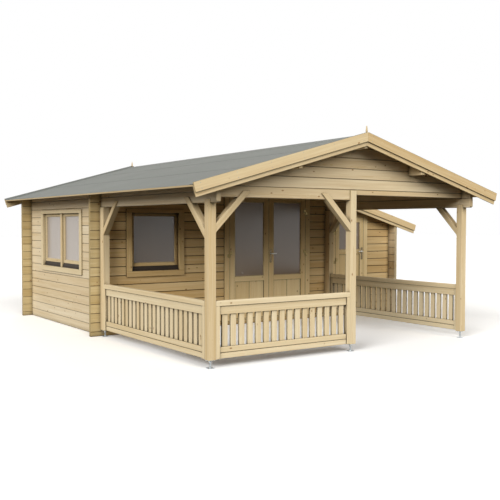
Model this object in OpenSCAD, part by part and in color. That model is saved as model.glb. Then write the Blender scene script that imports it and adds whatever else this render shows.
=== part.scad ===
// Log cabin with a gabled veranda in front and a side store under the same roof.
// Millimetres, +Z up. The gable front faces -Y and the origin is the middle of the
// plan on the ground. Inside the modules x runs from the left corner post's centre
// line to the right, and y from the front post line to the rear.

/* [Plan] */
// Distance between the centre lines of the two front corner posts
front_w = 4420; // [4000:10:5200]
// Depth of the veranda, from the front posts to the front wall
veranda_d = 3160; // [2400:10:4000]
// Depth of the cabin, from the front wall to the rear wall
cabin_d = 3220; // [2900:10:4400]
// Width of the side store, from the dividing wall to the store's outer wall
store_w = 1600; // [1350:10:1900]

/* [Logs] */
// Height of one log course
log_h = 140; // [136:1:150]
// Thickness of the logs
log_t = 58; // [44:1:80]
// Length of a log end past the wall it crosses
log_end = 205; // [100:5:300]
// Log courses in the side walls, up to the eaves
wall_courses = 16; // [16:1:18]
// Chamfer along the log's edges
log_chamfer = 6.5; // [2:0.5:8]
// Width of the tongue on top of a log
tongue_w = 18; // [10:1:24]
// Height of that tongue
tongue_h = 8; // [4:1:12]

/* [Roof] */
// Slope of both roof halves in degrees
roof_pitch = 15.67; // [12:0.01:20]
// Thickness of the roof boards
deck_t = 20; // [15:1:28]
// Thickness of the mineral felt
felt_t = 4; // [2:0.5:8]
// Eaves overhang past the side wall lines
side_overhang = 412; // [250:1:500]
// Eaves overhang past the store's outer wall line
store_overhang = 514; // [300:1:600]
// Overhang of the barge boards past the front posts
front_overhang = 320; // [280:1:450]
// Overhang of the barge boards past the rear wall
rear_overhang = 390; // [280:1:500]
// Overhang of the store's barge boards past the front wall
store_front_overhang = 246; // [180:1:300]
// Width of the purlins
purlin_w = 58; // [44:1:80]
// Height of the purlins
purlin_h = 160; // [120:1:200]
// Distance from the ridge to the middle purlins
purlin_offset = 1080; // [800:10:1300]

/* [Barge boards] */
// Thickness of a barge board
barge_t = 20; // [15:1:28]
// Height of the outer board
cover_h = 115; // [90:1:140]
// Height of the inner board
back_h = 140; // [120:1:160]
// How far the inner board shows below the outer one
back_show = 55; // [30:1:70]
// How far the barge boards stand above the felt
barge_rise = 23; // [10:1:40]
// Width of the finials
finial_w = 22; // [16:1:40]
// Height of a finial's tip above the barge boards
finial_rise = 86; // [40:1:150]
// Length of the finial's pointed tip
finial_tip = 60; // [20:1:80]

/* [Posts] */
// Side of the square posts
post_w = 100; // [90:1:130]
// Height of the adjustable feet under the posts
foot_h = 100; // [60:1:104]
// Side of a foot's square plates
foot_plate_w = 80; // [60:1:90]
// Thickness of a foot's plates
foot_plate_t = 6; // [4:1:10]
// Diameter of a foot's rod
foot_rod_d = 22; // [16:1:30]
// Height of the centre post's cheeks beside the tie log
cheek_h = 130; // [60:1:135]
// Height of the corner posts' cheeks beside the eaves beams
corner_cheek_h = 45; // [20:1:60]
// Depth of the posts that stand against the front wall
wall_post_d = 130; // [100:1:180]
// Length of the eaves beams past the front posts
beam_end = 185; // [120:5:400]
// Chamfer under the front end of the eaves beams
beam_nose = 20; // [8:1:30]
// Depth of the braces
brace_depth = 76; // [60:1:120]
// How much thinner the braces are than the posts
brace_inset = 12; // [4:1:40]
// Reach of a brace along the beam and down the post
brace_reach = 365; // [250:5:450]
// Height over which a brace laps the beam
brace_lap = 80; // [40:1:130]

/* [Railings] */
// Top of the railings
rail_top_z = 800; // [700:5:1000]
// Height of the cap rail
rail_cap_h = 63; // [40:1:80]
// Height of the upper rail under the cap
rail_upper_h = 102; // [60:1:130]
// Underside of the railings
rail_low_z = 106; // [80:1:160]
// Height of each of the two lower boards
rail_board_h = 70; // [50:1:90]
// Depth of the groove between the two lower boards
rail_groove = 7; // [3:0.5:10]
// Thickness of the rails
rail_t = 52; // [40:1:58]
// How far the rails lie behind the cap's outer face
rail_back = 13; // [6:1:20]
// How far the cap stands out inside the rails
cap_over = 10; // [4:1:20]
// Width of the upright at each end of a railing
rail_stile_w = 56; // [40:1:80]
// Width of a baluster
baluster_w = 78; // [60:1:100]
// Thickness of a baluster
baluster_t = 20; // [12:1:28]
// Wanted distance between the middles of two balusters
baluster_pitch = 120; // [110:1:200]
// How deep the railing's pieces are let into each other
rail_tenon = 20; // [10:1:30]

/* [Doors] */
// Thickness of the door leaves
leaf_t = 40; // [36:1:54]
// Running gap around a door leaf
leaf_gap = 6; // [5:0.5:8]
// Underside of the door leaves
leaf_z = 101; // [101:1:110]
// Thickness of the door frames
jamb_t = 42; // [30:1:60]
// Width of the architraves
arch_w = 100; // [60:1:120]
// Thickness of the architraves
arch_t = 20; // [15:1:26]
// Thickness of the thresholds
threshold_h = 25; // [15:1:25]
// Distance from the dividing wall to the middle of the double door
door_offset = 1330; // [1100:5:1500]
// Width of one leaf of the double door
leaf_w = 805; // [700:5:850]
// Top of the double door's leaves
leaf_top = 2190; // [2000:1:2195]
// Width of the double door's stiles
stile_w = 100; // [80:1:130]
// Bottom of the double door's glass
door_glass_z0 = 812; // [600:1:1000]
// Top of the double door's glass
door_glass_z1 = 2090; // [1800:1:2095]
// Distance from the dividing wall to the store leaf's hinge edge
store_door_offset = 200; // [190:5:320]
// Width of the store's leaf
store_leaf_w = 690; // [600:5:720]
// Top of the store's leaf
store_leaf_top = 1842; // [1700:1:1845]
// Width of the store leaf's stiles
store_stile_w = 88; // [70:1:110]
// Bottom of the store leaf's glass
store_glass_z0 = 1228; // [1000:1:1400]
// Top of the store leaf's glass
store_glass_z1 = 1752; // [1500:1:1760]
// Height of the rail under the glass
mid_rail_h = 82; // [60:1:120]
// Height of the bottom rail
bottom_rail_h = 110; // [80:1:150]
// Depth of the boarded panel's recess on each face
panel_recess = 9; // [4:1:14]
// Boards in the panel of a double door leaf
leaf_boards = 2; // [2:1:5]
// Boards in the panel of the store's leaf
store_boards = 3; // [2:1:5]

/* [Ironmongery] */
// Radius of the hinge pins
pin_r = 3.5; // [3:0.1:4]
// Outer radius of the hinge knuckles
knuckle_r = 6.5; // [6:0.1:7.5]
// Distance of the knuckles from the leaf's face
knuckle_gap = 1.5; // [1:0.1:2]
// Height of one hinge
hinge_h = 100; // [70:1:140]
// Width of a hinge plate
hinge_plate_w = 42; // [30:1:60]
// Thickness of a hinge plate
hinge_plate_t = 3; // [2:0.5:4]
// Distance of the top and bottom hinge from the leaf's ends
hinge_inset = 220; // [150:5:300]
// Height of the lever's spindle
lever_z = 1195; // [1000:5:1240]
// Distance of the spindle from the leaf's closing edge
lever_inset = 38; // [30:1:50]
// Length of the lever
lever_l = 115; // [90:1:140]
// Height of the lever
lever_h = 18; // [12:1:24]
// Thickness of the lever
lever_t = 12; // [8:1:16]
// Radius of the lever's neck
lever_neck_r = 9; // [7:0.5:11]
// Length of the lever's neck
lever_neck_l = 40; // [30:1:46]
// Height of the lever's plate
handle_plate_h = 228; // [160:1:260]
// Width of the lever's plate
handle_plate_w = 40; // [30:1:46]
// Thickness of the lever's plate
handle_plate_t = 4; // [3:0.5:5]
// Share of the lever's plate that lies below the spindle
plate_below = 0.68; // [0.5:0.01:0.75]

/* [Windows] */
// Distance from the left wall to the middle of the front window
front_window_x = 892; // [800:1:1000]
// Clear width of the front window's frame
front_window_w = 830; // [600:5:900]
// Distance from the front wall to the middle of the side window
side_window_y = 1670; // [1300:5:1800]
// Clear width of the side window's frame
side_window_w = 1710; // [1200:5:1800]
// Bottom of the windows' clear opening
window_z0 = 970; // [900:1:1100]
// Top of the windows' clear opening
window_z1 = 1885; // [1700:1:1900]
// Thickness of the window frames
window_frame_t = 30; // [20:1:45]
// How far the window frames reach behind the wall's middle
window_frame_in = 49; // [45:1:60]
// Width of the sash's stiles and rails
sash_w = 45; // [35:1:60]
// Thickness of the sash
sash_t = 44; // [30:1:44]
// Width of the mullion between two sashes
mullion_w = 70; // [50:1:90]
// Height of the dark weather bar under a sash
weather_bar_h = 75; // [30:1:90]
// How far the weather bar stands out before the sash
weather_bar_out = 12; // [6:1:20]
// Width of the trim boards beside a window
trim_w = 95; // [60:1:120]
// Height of the trim board under a window
sill_trim_h = 85; // [60:1:120]
// Height of the trim board over a window
head_trim_h = 55; // [40:1:60]
// Thickness of the trim boards
trim_t = 22; // [15:1:28]
// Thickness of the glass
glass_t = 6; // [4:1:12]
// How far the glass reaches into its groove
glass_edge = 10; // [6:1:14]

/* [Floors] */
// Height of the floor bearers
bearer_h = 45; // [35:1:48]
// Width of the floor bearers
bearer_w = 45; // [35:1:60]
// Wanted distance between bearers
bearer_pitch = 620; // [400:10:800]
// Thickness of the floor boards
floor_t = 20; // [15:1:20]

/* [Fits] */
// Joint between two log courses
log_gap = 0.6; // [0.4:0.1:1]
// Play beside a piece in its notch or groove
fit = 0.5; // [0.3:0.1:0.8]
// Distance of a piece from the face it lies on
seat = 0.3; // [0.2:0.1:0.6]
// Radial clearance of the hinge pins
pin_play = 0.05; // [0.02:0.01:0.08]

/* [Hidden] */
$fn = 48;
eps = 0.001;
cut = 20;
pine = "#d6be92";
pine_shade = "#c2a57a";
pine_dark = "#a98c63";

x_store = front_w + store_w;
y_front = veranda_d;
y_rear = veranda_d + cabin_d;
half_log = log_t / 2;
inner_face = half_log + fit + seat;
post_half = post_w / 2;
brace_t = post_w - brace_inset;
wall_post_back = y_front - half_log - fit;
wall_post_face = wall_post_back - wall_post_d;

ridge_x = front_w / 2;
slope = tan(roof_pitch);
eaves_z = wall_courses * log_h;
ridge_z = eaves_z + ridge_x * slope;
store_eaves_z = eaves_z - store_w * slope;
store_courses = ceil(store_eaves_z / log_h);
top_course = ceil(ridge_z / log_h + 0.5) - 1;
tie_course = wall_courses - 1;
beam_z = (wall_courses - 2) * log_h;
tie_under = (tie_course - 0.5) * log_h;

felt_n = deck_t + seat + felt_t;
barge_n = felt_n + barge_rise;
back_n = barge_n - cover_h - back_show;
main_reach = ridge_x + side_overhang;
store_reach = ridge_x + store_w + store_overhang;
y_barge_front = -front_overhang + 2 * barge_t;
y_barge_rear = y_rear + rear_overhang - 2 * barge_t;
y_barge_store = y_front - store_front_overhang + 2 * barge_t;
barge_peak = ridge_z + barge_n / cos(roof_pitch);
plan_mid = [(front_w + store_w + store_overhang - side_overhang) / 2,
            (y_rear + rear_overhang - front_overhang) / 2, 0];

sill_top = log_h / 2 - log_gap;
y_face = y_front - half_log - seat - arch_t;
frame_depth = arch_t + seat + log_t;
door_mid = front_w - door_offset;
door_half = leaf_w + leaf_gap * 1.5;
door_cut = door_half + jamb_t + fit;
door_head = leaf_top + leaf_gap + jamb_t + fit;
store_door_x = front_w + store_door_offset;
store_cut = [store_door_x - leaf_gap - jamb_t - fit,
             store_door_x + store_leaf_w + leaf_gap + jamb_t + fit];
store_head = store_leaf_top + leaf_gap + jamb_t + fit;
lintel_course = floor(store_head / log_h - 0.5 + eps) + 1;
over_door_course = floor(door_head / log_h - 0.5 + eps) + 1;
pin_out = knuckle_r + knuckle_gap;
sash_low = window_z0 + weather_bar_h + seat;
window_cut_z = [window_z0 - window_frame_t - fit, window_z1 + window_frame_t + fit];

// Height of the roof boards' underside over a place x
function under(x) = eaves_z + slope * min(x, front_w - x);

// Point of the roof, at distance s down the slope and n above the boards' underside
function slope_point(side, s, n) =
    [ridge_x + side * (s * cos(roof_pitch) + n * sin(roof_pitch)),
     ridge_z - s * sin(roof_pitch) + n * cos(roof_pitch)];

// Point of the same surface at a horizontal distance from the ridge
function ridge_point(side, away, n) =
    [ridge_x + side * away, ridge_z - away * slope + n / cos(roof_pitch)];

// Distance down the slope at which the barge boards' top corner reaches that far out
function eave_s(reach) = (reach - barge_n * sin(roof_pitch)) / cos(roof_pitch);

// Courses of the cross walls start with a half log, so they lie half a log higher
function cross_z(k) = k == 0 ? 0 : (k - 0.5) * log_h;
function cross_h(k) = k == 0 ? log_h / 2 : log_h;

// Stretches of one course: it passes through each side wall that reaches above it
function cross_spans(k) =
    (k + 0.5) * log_h > eaves_z + eps
        ? [[inner_face, front_w - inner_face], [front_w + inner_face, x_store - inner_face]]
    : (k + 0.5) * log_h > store_eaves_z + eps ? [[-log_end, x_store - inner_face]]
    : [[-log_end, x_store + log_end]];

// Last course of the cross walls that passes through a side wall of that height
function last_crossing(wall_z) = floor(wall_z / log_h - 0.5 + eps);

// Puts the plan's middle over the origin
module centred() {
    translate(-plan_mid) children();
}

// Profile in x and z, drawn out from y0 to y1
module along_y(y0, y1) {
    translate([0, y1, 0]) rotate([90, 0, 0]) linear_extrude(y1 - y0) children();
}

// Profile in y and z, drawn out from x0 to x1
module along_x(x0, x1) {
    translate([x0, 0, 0]) rotate([90, 0, 90]) linear_extrude(x1 - x0) children();
}

// Section of a log: chamfered edges, a tongue on top and a groove below
module log_section(height, groove = true, tongue = true) {
    top = height - log_gap;
    groove_half = tongue_w / 2 + fit;
    edge = half_log - log_chamfer;
    polygon(concat(
        [[-half_log, log_chamfer], [-edge, 0]],
        groove ? [[-groove_half, 0], [-groove_half, tongue_h],
                  [groove_half, tongue_h], [groove_half, 0]] : [],
        [[edge, 0], [half_log, log_chamfer], [half_log, top - log_chamfer], [edge, top]],
        tongue ? [[tongue_w / 2, top], [tongue_w / 2, top + tongue_h],
                  [-tongue_w / 2, top + tongue_h], [-tongue_w / 2, top]] : [],
        [[-edge, top], [-half_log, top - log_chamfer]]));
}

// One log of a cross wall
module cross_log(x0, x1, y, z, height, groove = true) {
    translate([0, y, z]) along_x(x0, x1) log_section(height, groove);
}

// One log of a side wall
module side_log(x, y0, y1, course, last = false) {
    translate([x, 0, course * log_h]) along_y(y0, y1)
        log_section(last ? log_h + log_t : log_h, course > 0, !last);
}

// Everything above the roof boards' underside
module over_roof() {
    far = store_reach + cut;
    along_y(-front_overhang - cut, y_rear + rear_overhang + cut)
        translate([0, -seat]) polygon([
            [ridge_x - far, under(ridge_x - far)], [ridge_x, ridge_z],
            [ridge_x + far, under(ridge_x + far)], [ridge_x + far, ridge_z + purlin_h],
            [ridge_x - far, ridge_z + purlin_h]]);
}

// Section of a purlin under the roof boards, with play for its housing
module purlin_section(x, play = 0) {
    half = purlin_w / 2 + play;
    low = under(x) - purlin_h - play;
    lift = play > 0 ? cut : -seat;
    peak = x == ridge_x ? [[x, ridge_z + lift]] : [];
    polygon(concat([[x - half, low], [x + half, low], [x + half, under(x + half) + lift]],
                   peak, [[x - half, under(x - half) + lift]]));
}

module purlin_rows(y0, y1, play = 0) {
    for (away = [-purlin_offset, 0, purlin_offset])
        along_y(y0, y1) purlin_section(ridge_x + away, play);
}

// Notches of a cross wall, where the side walls' logs lie in it
module cross_notches(y) {
    for (wall = [[0, wall_courses], [front_w, wall_courses], [x_store, store_courses]])
        for (course = [0 : wall[1] - 1])
            translate([wall[0] - half_log - fit, y - half_log - cut,
                       (course + 0.25) * log_h - log_gap / 2])
                cube([log_t + 2 * fit, log_t + 2 * cut, log_h / 2 + log_gap]);
}

// Notches of a side wall, where the cross walls' logs lie in it
module side_notches(x, wall_z) {
    for (y = [y_front, y_rear])
        for (k = [0 : last_crossing(wall_z)])
            translate([x - half_log - cut, y - half_log - fit,
                       (k - 0.25) * log_h - log_gap / 2])
                cube([log_t + 2 * cut, log_t + 2 * fit, log_h / 2 + log_gap]);
}

// Courses of a cross wall from lo to hi, cut to the roof, the purlins and the crossings
module cross_wall(y, first, last, lo = -log_end, hi = x_store + log_end) {
    difference() {
        for (k = [first : last])
            for (span = cross_spans(k)) {
                x0 = max(span[0], lo);
                x1 = min(span[1], hi);
                crest = max(x0, min(x1, ridge_x));
                if (x1 > x0 && cross_z(k) < under(crest) - seat)
                    cross_log(x0, x1, y, cross_z(k), cross_h(k), k > 0);
            }
        cross_notches(y);
        over_roof();
        purlin_rows(y - half_log - cut, y + half_log + cut, fit);
    }
}

// Holes in the front wall for the doors and the window
module front_wall_holes() {
    y0 = y_front - half_log - cut;
    depth = log_t + 2 * cut;
    translate([door_mid - door_cut, y0, sill_top])
        cube([2 * door_cut, depth, door_head - sill_top]);
    translate([store_cut[0], y0, sill_top])
        cube([store_cut[1] - store_cut[0], depth, store_head - sill_top]);
    translate([front_window_x, y_front, 0]) window_hole(front_window_w);
}

// Hole for a window, in the window's own place: x along the wall and -y outside
module window_hole(clear_w) {
    half = clear_w / 2 + window_frame_t + fit;
    translate([-half, -half_log - cut, window_cut_z[0]])
        cube([2 * half, log_t + 2 * cut, window_cut_z[1] - window_cut_z[0]]);
}

// Puts a window of the left wall in its place
module at_side_window() {
    translate([0, y_front + side_window_y, 0]) rotate([0, 0, -90]) children();
}

// Log walls

module left_wall() {
    centred() color(pine) difference() {
        for (course = [0 : wall_courses - 3])
            side_log(0, y_front - half_log, y_rear + log_end, course);
        side_notches(0, eaves_z);
        at_side_window() window_hole(side_window_w);
    }
}

module dividing_wall() {
    centred() color(pine_shade) difference() {
        for (course = [0 : wall_courses - 3])
            side_log(front_w, y_front - half_log, y_rear + log_end, course);
        side_notches(front_w, eaves_z);
    }
}

module store_side_wall() {
    front_end = min(log_end, y_front - y_barge_store - fit);
    centred() color(pine) difference() {
        for (course = [0 : store_courses - 1])
            side_log(x_store, y_front - front_end, y_rear + log_end, course,
                     course == store_courses - 1);
        side_notches(x_store, store_eaves_z);
        over_roof();
    }
}

module rear_wall() {
    centred() color(pine) cross_wall(y_rear, 0, top_course);
}

module front_sill_log() {
    centred() color(pine_shade) difference() {
        cross_wall(y_front, 0, 0);
        front_wall_holes();
    }
}

module front_wall_left() {
    centred() color(pine_shade) difference() {
        cross_wall(y_front, 1, over_door_course - 1, hi = door_mid - door_cut);
        front_wall_holes();
    }
}

module front_wall_middle() {
    centred() color(pine_shade)
        cross_wall(y_front, 1, lintel_course - 1, door_mid + door_cut, store_cut[0]);
}

module store_front_wall() {
    centred() color(pine_shade)
        cross_wall(y_front, 1, lintel_course - 1, lo = store_cut[1]);
}

// Logs over the store's door, then the gable over the double door
module front_wall_top() {
    centred() color(pine_shade) difference() {
        union() {
            cross_wall(y_front, lintel_course, over_door_course - 1, lo = door_mid + door_cut);
            cross_wall(y_front, over_door_course, top_course);
        }
        front_wall_holes();
    }
}

// Gable over the front posts: its tie log has half the height right of the centre post
module front_gable() {
    centred() color(pine) difference() {
        union() {
            cross_log(inner_face, ridge_x - fit / 2, 0, tie_under, log_h, false);
            cross_log(ridge_x + fit / 2, front_w - inner_face, 0, tie_under + log_h / 2,
                      log_h / 2, false);
            for (k = [tie_course + 1 : top_course])
                cross_log(inner_face, front_w - inner_face, 0, cross_z(k), log_h);
        }
        over_roof();
        purlin_rows(-half_log - cut, half_log + cut, fit);
    }
}

// The two top courses of a side wall, which run on to the front as the eaves beam
module wall_plate(x) {
    front_end = min(beam_end, -y_barge_front - fit);
    difference() {
        for (course = [wall_courses - 2, wall_courses - 1])
            side_log(x, -front_end, y_rear + log_end, course, course == wall_courses - 1);
        side_notches(x, eaves_z);
        over_roof();
        along_x(x - log_t, x + log_t) translate([-front_end, beam_z]) polygon([
            [-cut, -cut], [beam_nose + cut, -cut], [-cut, beam_nose + cut]]);
    }
}

module left_wall_plate() {
    centred() color(pine) wall_plate(0);
}

module right_wall_plate() {
    centred() color(pine) wall_plate(front_w);
}

// Veranda

// Post from its foot up, around a centre line in x
module post_at(x, y0, y1, top) {
    translate([x - post_half, y0, foot_h]) cube([post_w, y1 - y0, top - foot_h]);
}

// The centre post holds both tie logs in an open slot
module centre_post() {
    slot = log_t + 2 * fit;
    difference() {
        post_at(ridge_x, -post_half, post_half, tie_under + cheek_h);
        translate([ridge_x - post_w, -slot / 2, tie_under - seat])
            cube([post_w, slot, log_h]);
        translate([ridge_x - eps, -slot / 2, tie_under + log_h / 2 - seat])
            cube([post_w, slot, log_h]);
    }
}

// A corner post holds its eaves beam between two cheeks
module corner_post(x) {
    slot = log_t + 2 * fit;
    difference() {
        post_at(x, -post_half, post_half, beam_z + corner_cheek_h);
        translate([x - slot / 2, -post_w, beam_z - seat])
            cube([slot, 2 * post_w, corner_cheek_h + cut]);
    }
}

module posts() {
    centred() color(pine) {
        for (x = [0, front_w]) {
            corner_post(x);
            post_at(x, wall_post_face, wall_post_back, beam_z - seat);
        }
        centre_post();
    }
}

// Adjustable foot: a plate on the ground, a rod and a plate under the post
module post_foot() {
    half = foot_plate_w / 2;
    translate([-half, -half, 0]) cube([foot_plate_w, foot_plate_w, foot_plate_t]);
    cylinder(d = foot_rod_d, h = foot_h - seat);
    translate([-half, -half, foot_h - foot_plate_t - seat])
        cube([foot_plate_w, foot_plate_w, foot_plate_t]);
}

module post_feet() {
    centred() color("#b9bcbd") {
        for (x = [0, ridge_x, front_w]) translate([x, 0, 0]) post_foot();
        for (x = [0, front_w])
            translate([x, (wall_post_face + wall_post_back) / 2, 0]) post_foot();
    }
}

// Brace from a post's face at x = 0 up to a beam at z = 0. Its outer face is at y = 0
// and its head laps the beam, whose face lies behind that.
module brace() {
    half = brace_depth / sqrt(2);
    lap_t = post_half - half_log - fit;
    difference() {
        along_y(0, brace_t) polygon([
            [fit, fit - brace_reach - half], [fit, fit - brace_reach + half],
            [brace_reach - half + brace_lap, brace_lap],
            [brace_reach + half + brace_lap, brace_lap]]);
        translate([0, lap_t, -seat]) cube([brace_reach * 2, brace_t, brace_lap + cut]);
    }
}

module braces() {
    centred() color(pine) {
        translate([post_half, -post_half, tie_under]) brace();
        translate([ridge_x - post_half, -post_half, tie_under]) mirror([1, 0, 0]) brace();
        for (end = [0, 1])
            translate([end * front_w, 0, beam_z]) mirror([end, 0, 0]) {
                translate([-post_half, post_half, 0])
                    rotate([0, 0, 90]) mirror([0, 1, 0]) brace();
                translate([-post_half, wall_post_face, 0]) rotate([0, 0, -90]) brace();
            }
    }
}

// Railing panel along x from 0 to length, with the posts' outer face at y = 0: a cap on
// two uprights, an upper rail, two lower boards and balusters let into them
module railing(length) {
    cap_z = rail_top_z - rail_cap_h;
    upper_z = cap_z - rail_upper_h;
    low_top = rail_low_z + 2 * rail_board_h;
    rear = rail_back + rail_t;
    x0 = fit + rail_stile_w;
    field = length - 2 * x0;
    count = round((field + baluster_w) / baluster_pitch) - 1;
    gap = (field - count * baluster_w) / (count + 1);
    vee = rail_groove * sqrt(2);
    translate([fit, 0, cap_z]) cube([length - 2 * fit, rear + cap_over, rail_cap_h]);
    for (x = [fit, length - x0])
        translate([x, 0, rail_low_z]) cube([rail_stile_w, rear, cap_z + rail_tenon - rail_low_z]);
    translate([x0 - rail_tenon, rail_back, upper_z])
        cube([field + 2 * rail_tenon, rail_t, rail_upper_h + rail_tenon]);
    difference() {
        translate([x0 - rail_tenon, rail_back, rail_low_z])
            cube([field + 2 * rail_tenon, rail_t, low_top - rail_low_z]);
        for (y = [rail_back, rear])
            translate([x0, y, rail_low_z + rail_board_h]) rotate([45, 0, 0])
                translate([0, -vee / 2, -vee / 2]) cube([field, vee, vee]);
    }
    for (i = [0 : count - 1])
        translate([x0 + gap + i * (baluster_w + gap), rail_back + (rail_t - baluster_t) / 2,
                   low_top - rail_tenon])
            cube([baluster_w, baluster_t, upper_z - low_top + 2 * rail_tenon]);
}

module front_railing() {
    centred() color(pine) translate([post_half, -post_half, 0]) railing(ridge_x - post_w);
}

module left_railing() {
    centred() color(pine) translate([-post_half, wall_post_face, 0])
        rotate([0, 0, -90]) railing(wall_post_face - post_half);
}

module right_railing() {
    centred() color(pine) translate([front_w + post_half, post_half, 0])
        rotate([0, 0, 90]) railing(wall_post_face - post_half);
}

// Roof

module purlins() {
    centred() color(pine_shade) purlin_rows(y_barge_front + fit, y_barge_rear - fit);
}

// Sheet of the roof from the ridge down to its eaves, between two heights over the boards
module roof_sheet(side, reach, n0, n1, y0, y1, away = fit / 2) {
    s = eave_s(reach);
    along_y(y0, y1) polygon([ridge_point(side, away, n0), slope_point(side, s, n0),
                             slope_point(side, s, n1), ridge_point(side, away, n1)]);
}

module roof_left() {
    centred() color(pine_dark)
        roof_sheet(-1, main_reach, 0, deck_t, y_barge_front + fit, y_barge_rear - fit);
}

module roof_right_veranda() {
    centred() color(pine_dark)
        roof_sheet(1, main_reach, 0, deck_t, y_barge_front + fit, y_barge_store);
}

module roof_right_cabin() {
    centred() color(pine_dark)
        roof_sheet(1, store_reach, 0, deck_t, y_barge_store + fit, y_barge_rear - fit);
}

module roof_felt() {
    n0 = deck_t + seat;
    centred() color("#92968f") {
        roof_sheet(-1, main_reach, n0, felt_n, y_barge_front + fit, y_barge_rear - fit);
        roof_sheet(1, main_reach, n0, felt_n, y_barge_front + fit, y_barge_store);
        roof_sheet(1, store_reach, n0, felt_n, y_barge_store + fit, y_barge_rear - fit);
    }
}

// Inner and outer barge board of one slope, on the way out from the face at y_back
module barge_pair(side, reach, y_back, out) {
    layer = out * barge_t;
    inner = [y_back + out * seat, y_back + layer];
    outer = inner + [layer, layer];
    roof_sheet(side, reach, back_n, back_n + back_h, min(inner), max(inner),
               finial_w / 2 + fit);
    roof_sheet(side, reach, barge_n - cover_h, barge_n, min(outer), max(outer));
}

module front_barge_boards() {
    centred() color(pine) for (side = [-1, 1])
        barge_pair(side, main_reach, y_barge_front, -1);
}

module rear_barge_boards() {
    centred() color(pine) {
        barge_pair(-1, main_reach, y_barge_rear, 1);
        barge_pair(1, store_reach, y_barge_rear, 1);
    }
}

// Barge boards of the store's roof, from the veranda's eaves down
module store_barge_boards() {
    s0 = eave_s(main_reach) + fit;
    s1 = eave_s(store_reach);
    centred() color(pine) for (board = [[0, back_n, back_h], [1, barge_n - cover_h, cover_h]]) {
        y1 = y_barge_store - board[0] * barge_t - seat;
        along_y(y1 - barge_t + seat, y1) polygon([
            slope_point(1, s0, board[1]), slope_point(1, s1, board[1]),
            slope_point(1, s1, board[1] + board[2]), slope_point(1, s0, board[1] + board[2])]);
    }
}

// Pointed lath between the inner barge boards at each end of the ridge
module finials() {
    half = finial_w / 2;
    low = ridge_z + back_n / cos(roof_pitch);
    top = barge_peak + finial_rise;
    centred() color(pine) for (y = [y_barge_front - barge_t, y_barge_rear + seat])
        along_y(y, y + barge_t - seat) translate([ridge_x, 0]) polygon([
            [-half, low], [half, low], [half, top - finial_tip], [0, top],
            [-half, top - finial_tip]]);
}

// Floors

module floor_of(x0, x1) {
    y0 = y_front + half_log + fit;
    y1 = y_rear - half_log - fit;
    count = ceil((y1 - y0) / bearer_pitch);
    step = (y1 - y0 - bearer_w) / count;
    translate([x0, y0, bearer_h + seat]) cube([x1 - x0, y1 - y0, floor_t]);
    for (i = [0 : count])
        translate([x0, y0 + i * step, 0]) cube([x1 - x0, bearer_w, bearer_h]);
}

module floors() {
    clear = half_log + fit;
    centred() color(pine_dark) {
        floor_of(clear, front_w - clear);
        floor_of(front_w + clear, x_store - clear);
    }
}

// Doors. A leaf's own place has x from its hinge edge, y from its outer face inwards.

module at_left_leaf() {
    translate([door_mid - leaf_gap / 2 - leaf_w, y_face, 0]) children();
}

module at_right_leaf() {
    translate([door_mid + leaf_gap / 2 + leaf_w, y_face, 0]) mirror([1, 0, 0]) children();
}

module at_store_leaf() {
    translate([store_door_x, y_face, 0]) children();
}

// Frame around an opening from x = 0 to width: jambs and a head with a stop for the
// leaf, a threshold and the architraves on the wall's face
module door_frame(width, head) {
    stop = 2 * leaf_gap;
    stop_y = leaf_t + leaf_gap;
    stop_t = frame_depth - stop_y;
    back = arch_t + seat;
    low = sill_top + seat;
    for (end = [0, 1]) translate([end * width, 0, 0]) mirror([end, 0, 0]) {
        translate([-jamb_t, back, low]) cube([jamb_t, log_t, head + jamb_t - seat - low]);
        translate([-seat, stop_y, low]) cube([stop + seat, stop_t, head - seat - low]);
        translate([-arch_w, 0, low]) cube([arch_w, arch_t, head - low]);
    }
    translate([fit, back, head]) cube([width - 2 * fit, log_t, jamb_t - seat]);
    translate([stop + fit, stop_y, head - stop])
        cube([width - 2 * (stop + fit), stop_t, stop + seat]);
    translate([-arch_w, 0, head + seat]) cube([width + 2 * arch_w, arch_t, arch_w]);
    translate([stop + fit, back, low]) cube([width - 2 * (stop + fit), log_t, threshold_h]);
}

// Leaf with a glazed upper light and a boarded panel below
module door_leaf(width, top, stile, glass, boards) {
    panel_w = width - 2 * stile;
    panel_z0 = leaf_z + bottom_rail_h;
    panel_h = glass[0] - mid_rail_h - panel_z0;
    slot_t = glass_t + 2 * fit;
    vee = panel_recess / 2;
    difference() {
        translate([0, 0, leaf_z]) cube([width, leaf_t, top - leaf_z]);
        translate([stile, -cut, glass[0]])
            cube([panel_w, leaf_t + 2 * cut, glass[1] - glass[0]]);
        translate([stile - glass_edge - fit, (leaf_t - slot_t) / 2, glass[0] - glass_edge - fit])
            cube([panel_w + 2 * (glass_edge + fit), slot_t,
                  glass[1] - glass[0] + 2 * (glass_edge + fit)]);
        for (y = [-cut, leaf_t - panel_recess])
            translate([stile, y, panel_z0]) cube([panel_w, panel_recess + cut, panel_h]);
        for (i = [1 : boards - 1])
            for (y = [panel_recess, leaf_t - panel_recess])
                translate([stile + i * panel_w / boards, y, panel_z0]) rotate([0, 0, 45])
                    translate([-vee / 2, -vee / 2, 0]) cube([vee, vee, panel_h]);
    }
}

module leaf_glass(width, stile, glass) {
    translate([stile - glass_edge, (leaf_t - glass_t) / 2, glass[0] - glass_edge])
        cube([width - 2 * stile + 2 * glass_edge, glass_t,
              glass[1] - glass[0] + 2 * glass_edge]);
}

// Lower end of each hinge on a leaf
function hinge_feet(top) =
    [leaf_z + hinge_inset, (leaf_z + top) / 2, top - hinge_inset - hinge_h];

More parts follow.
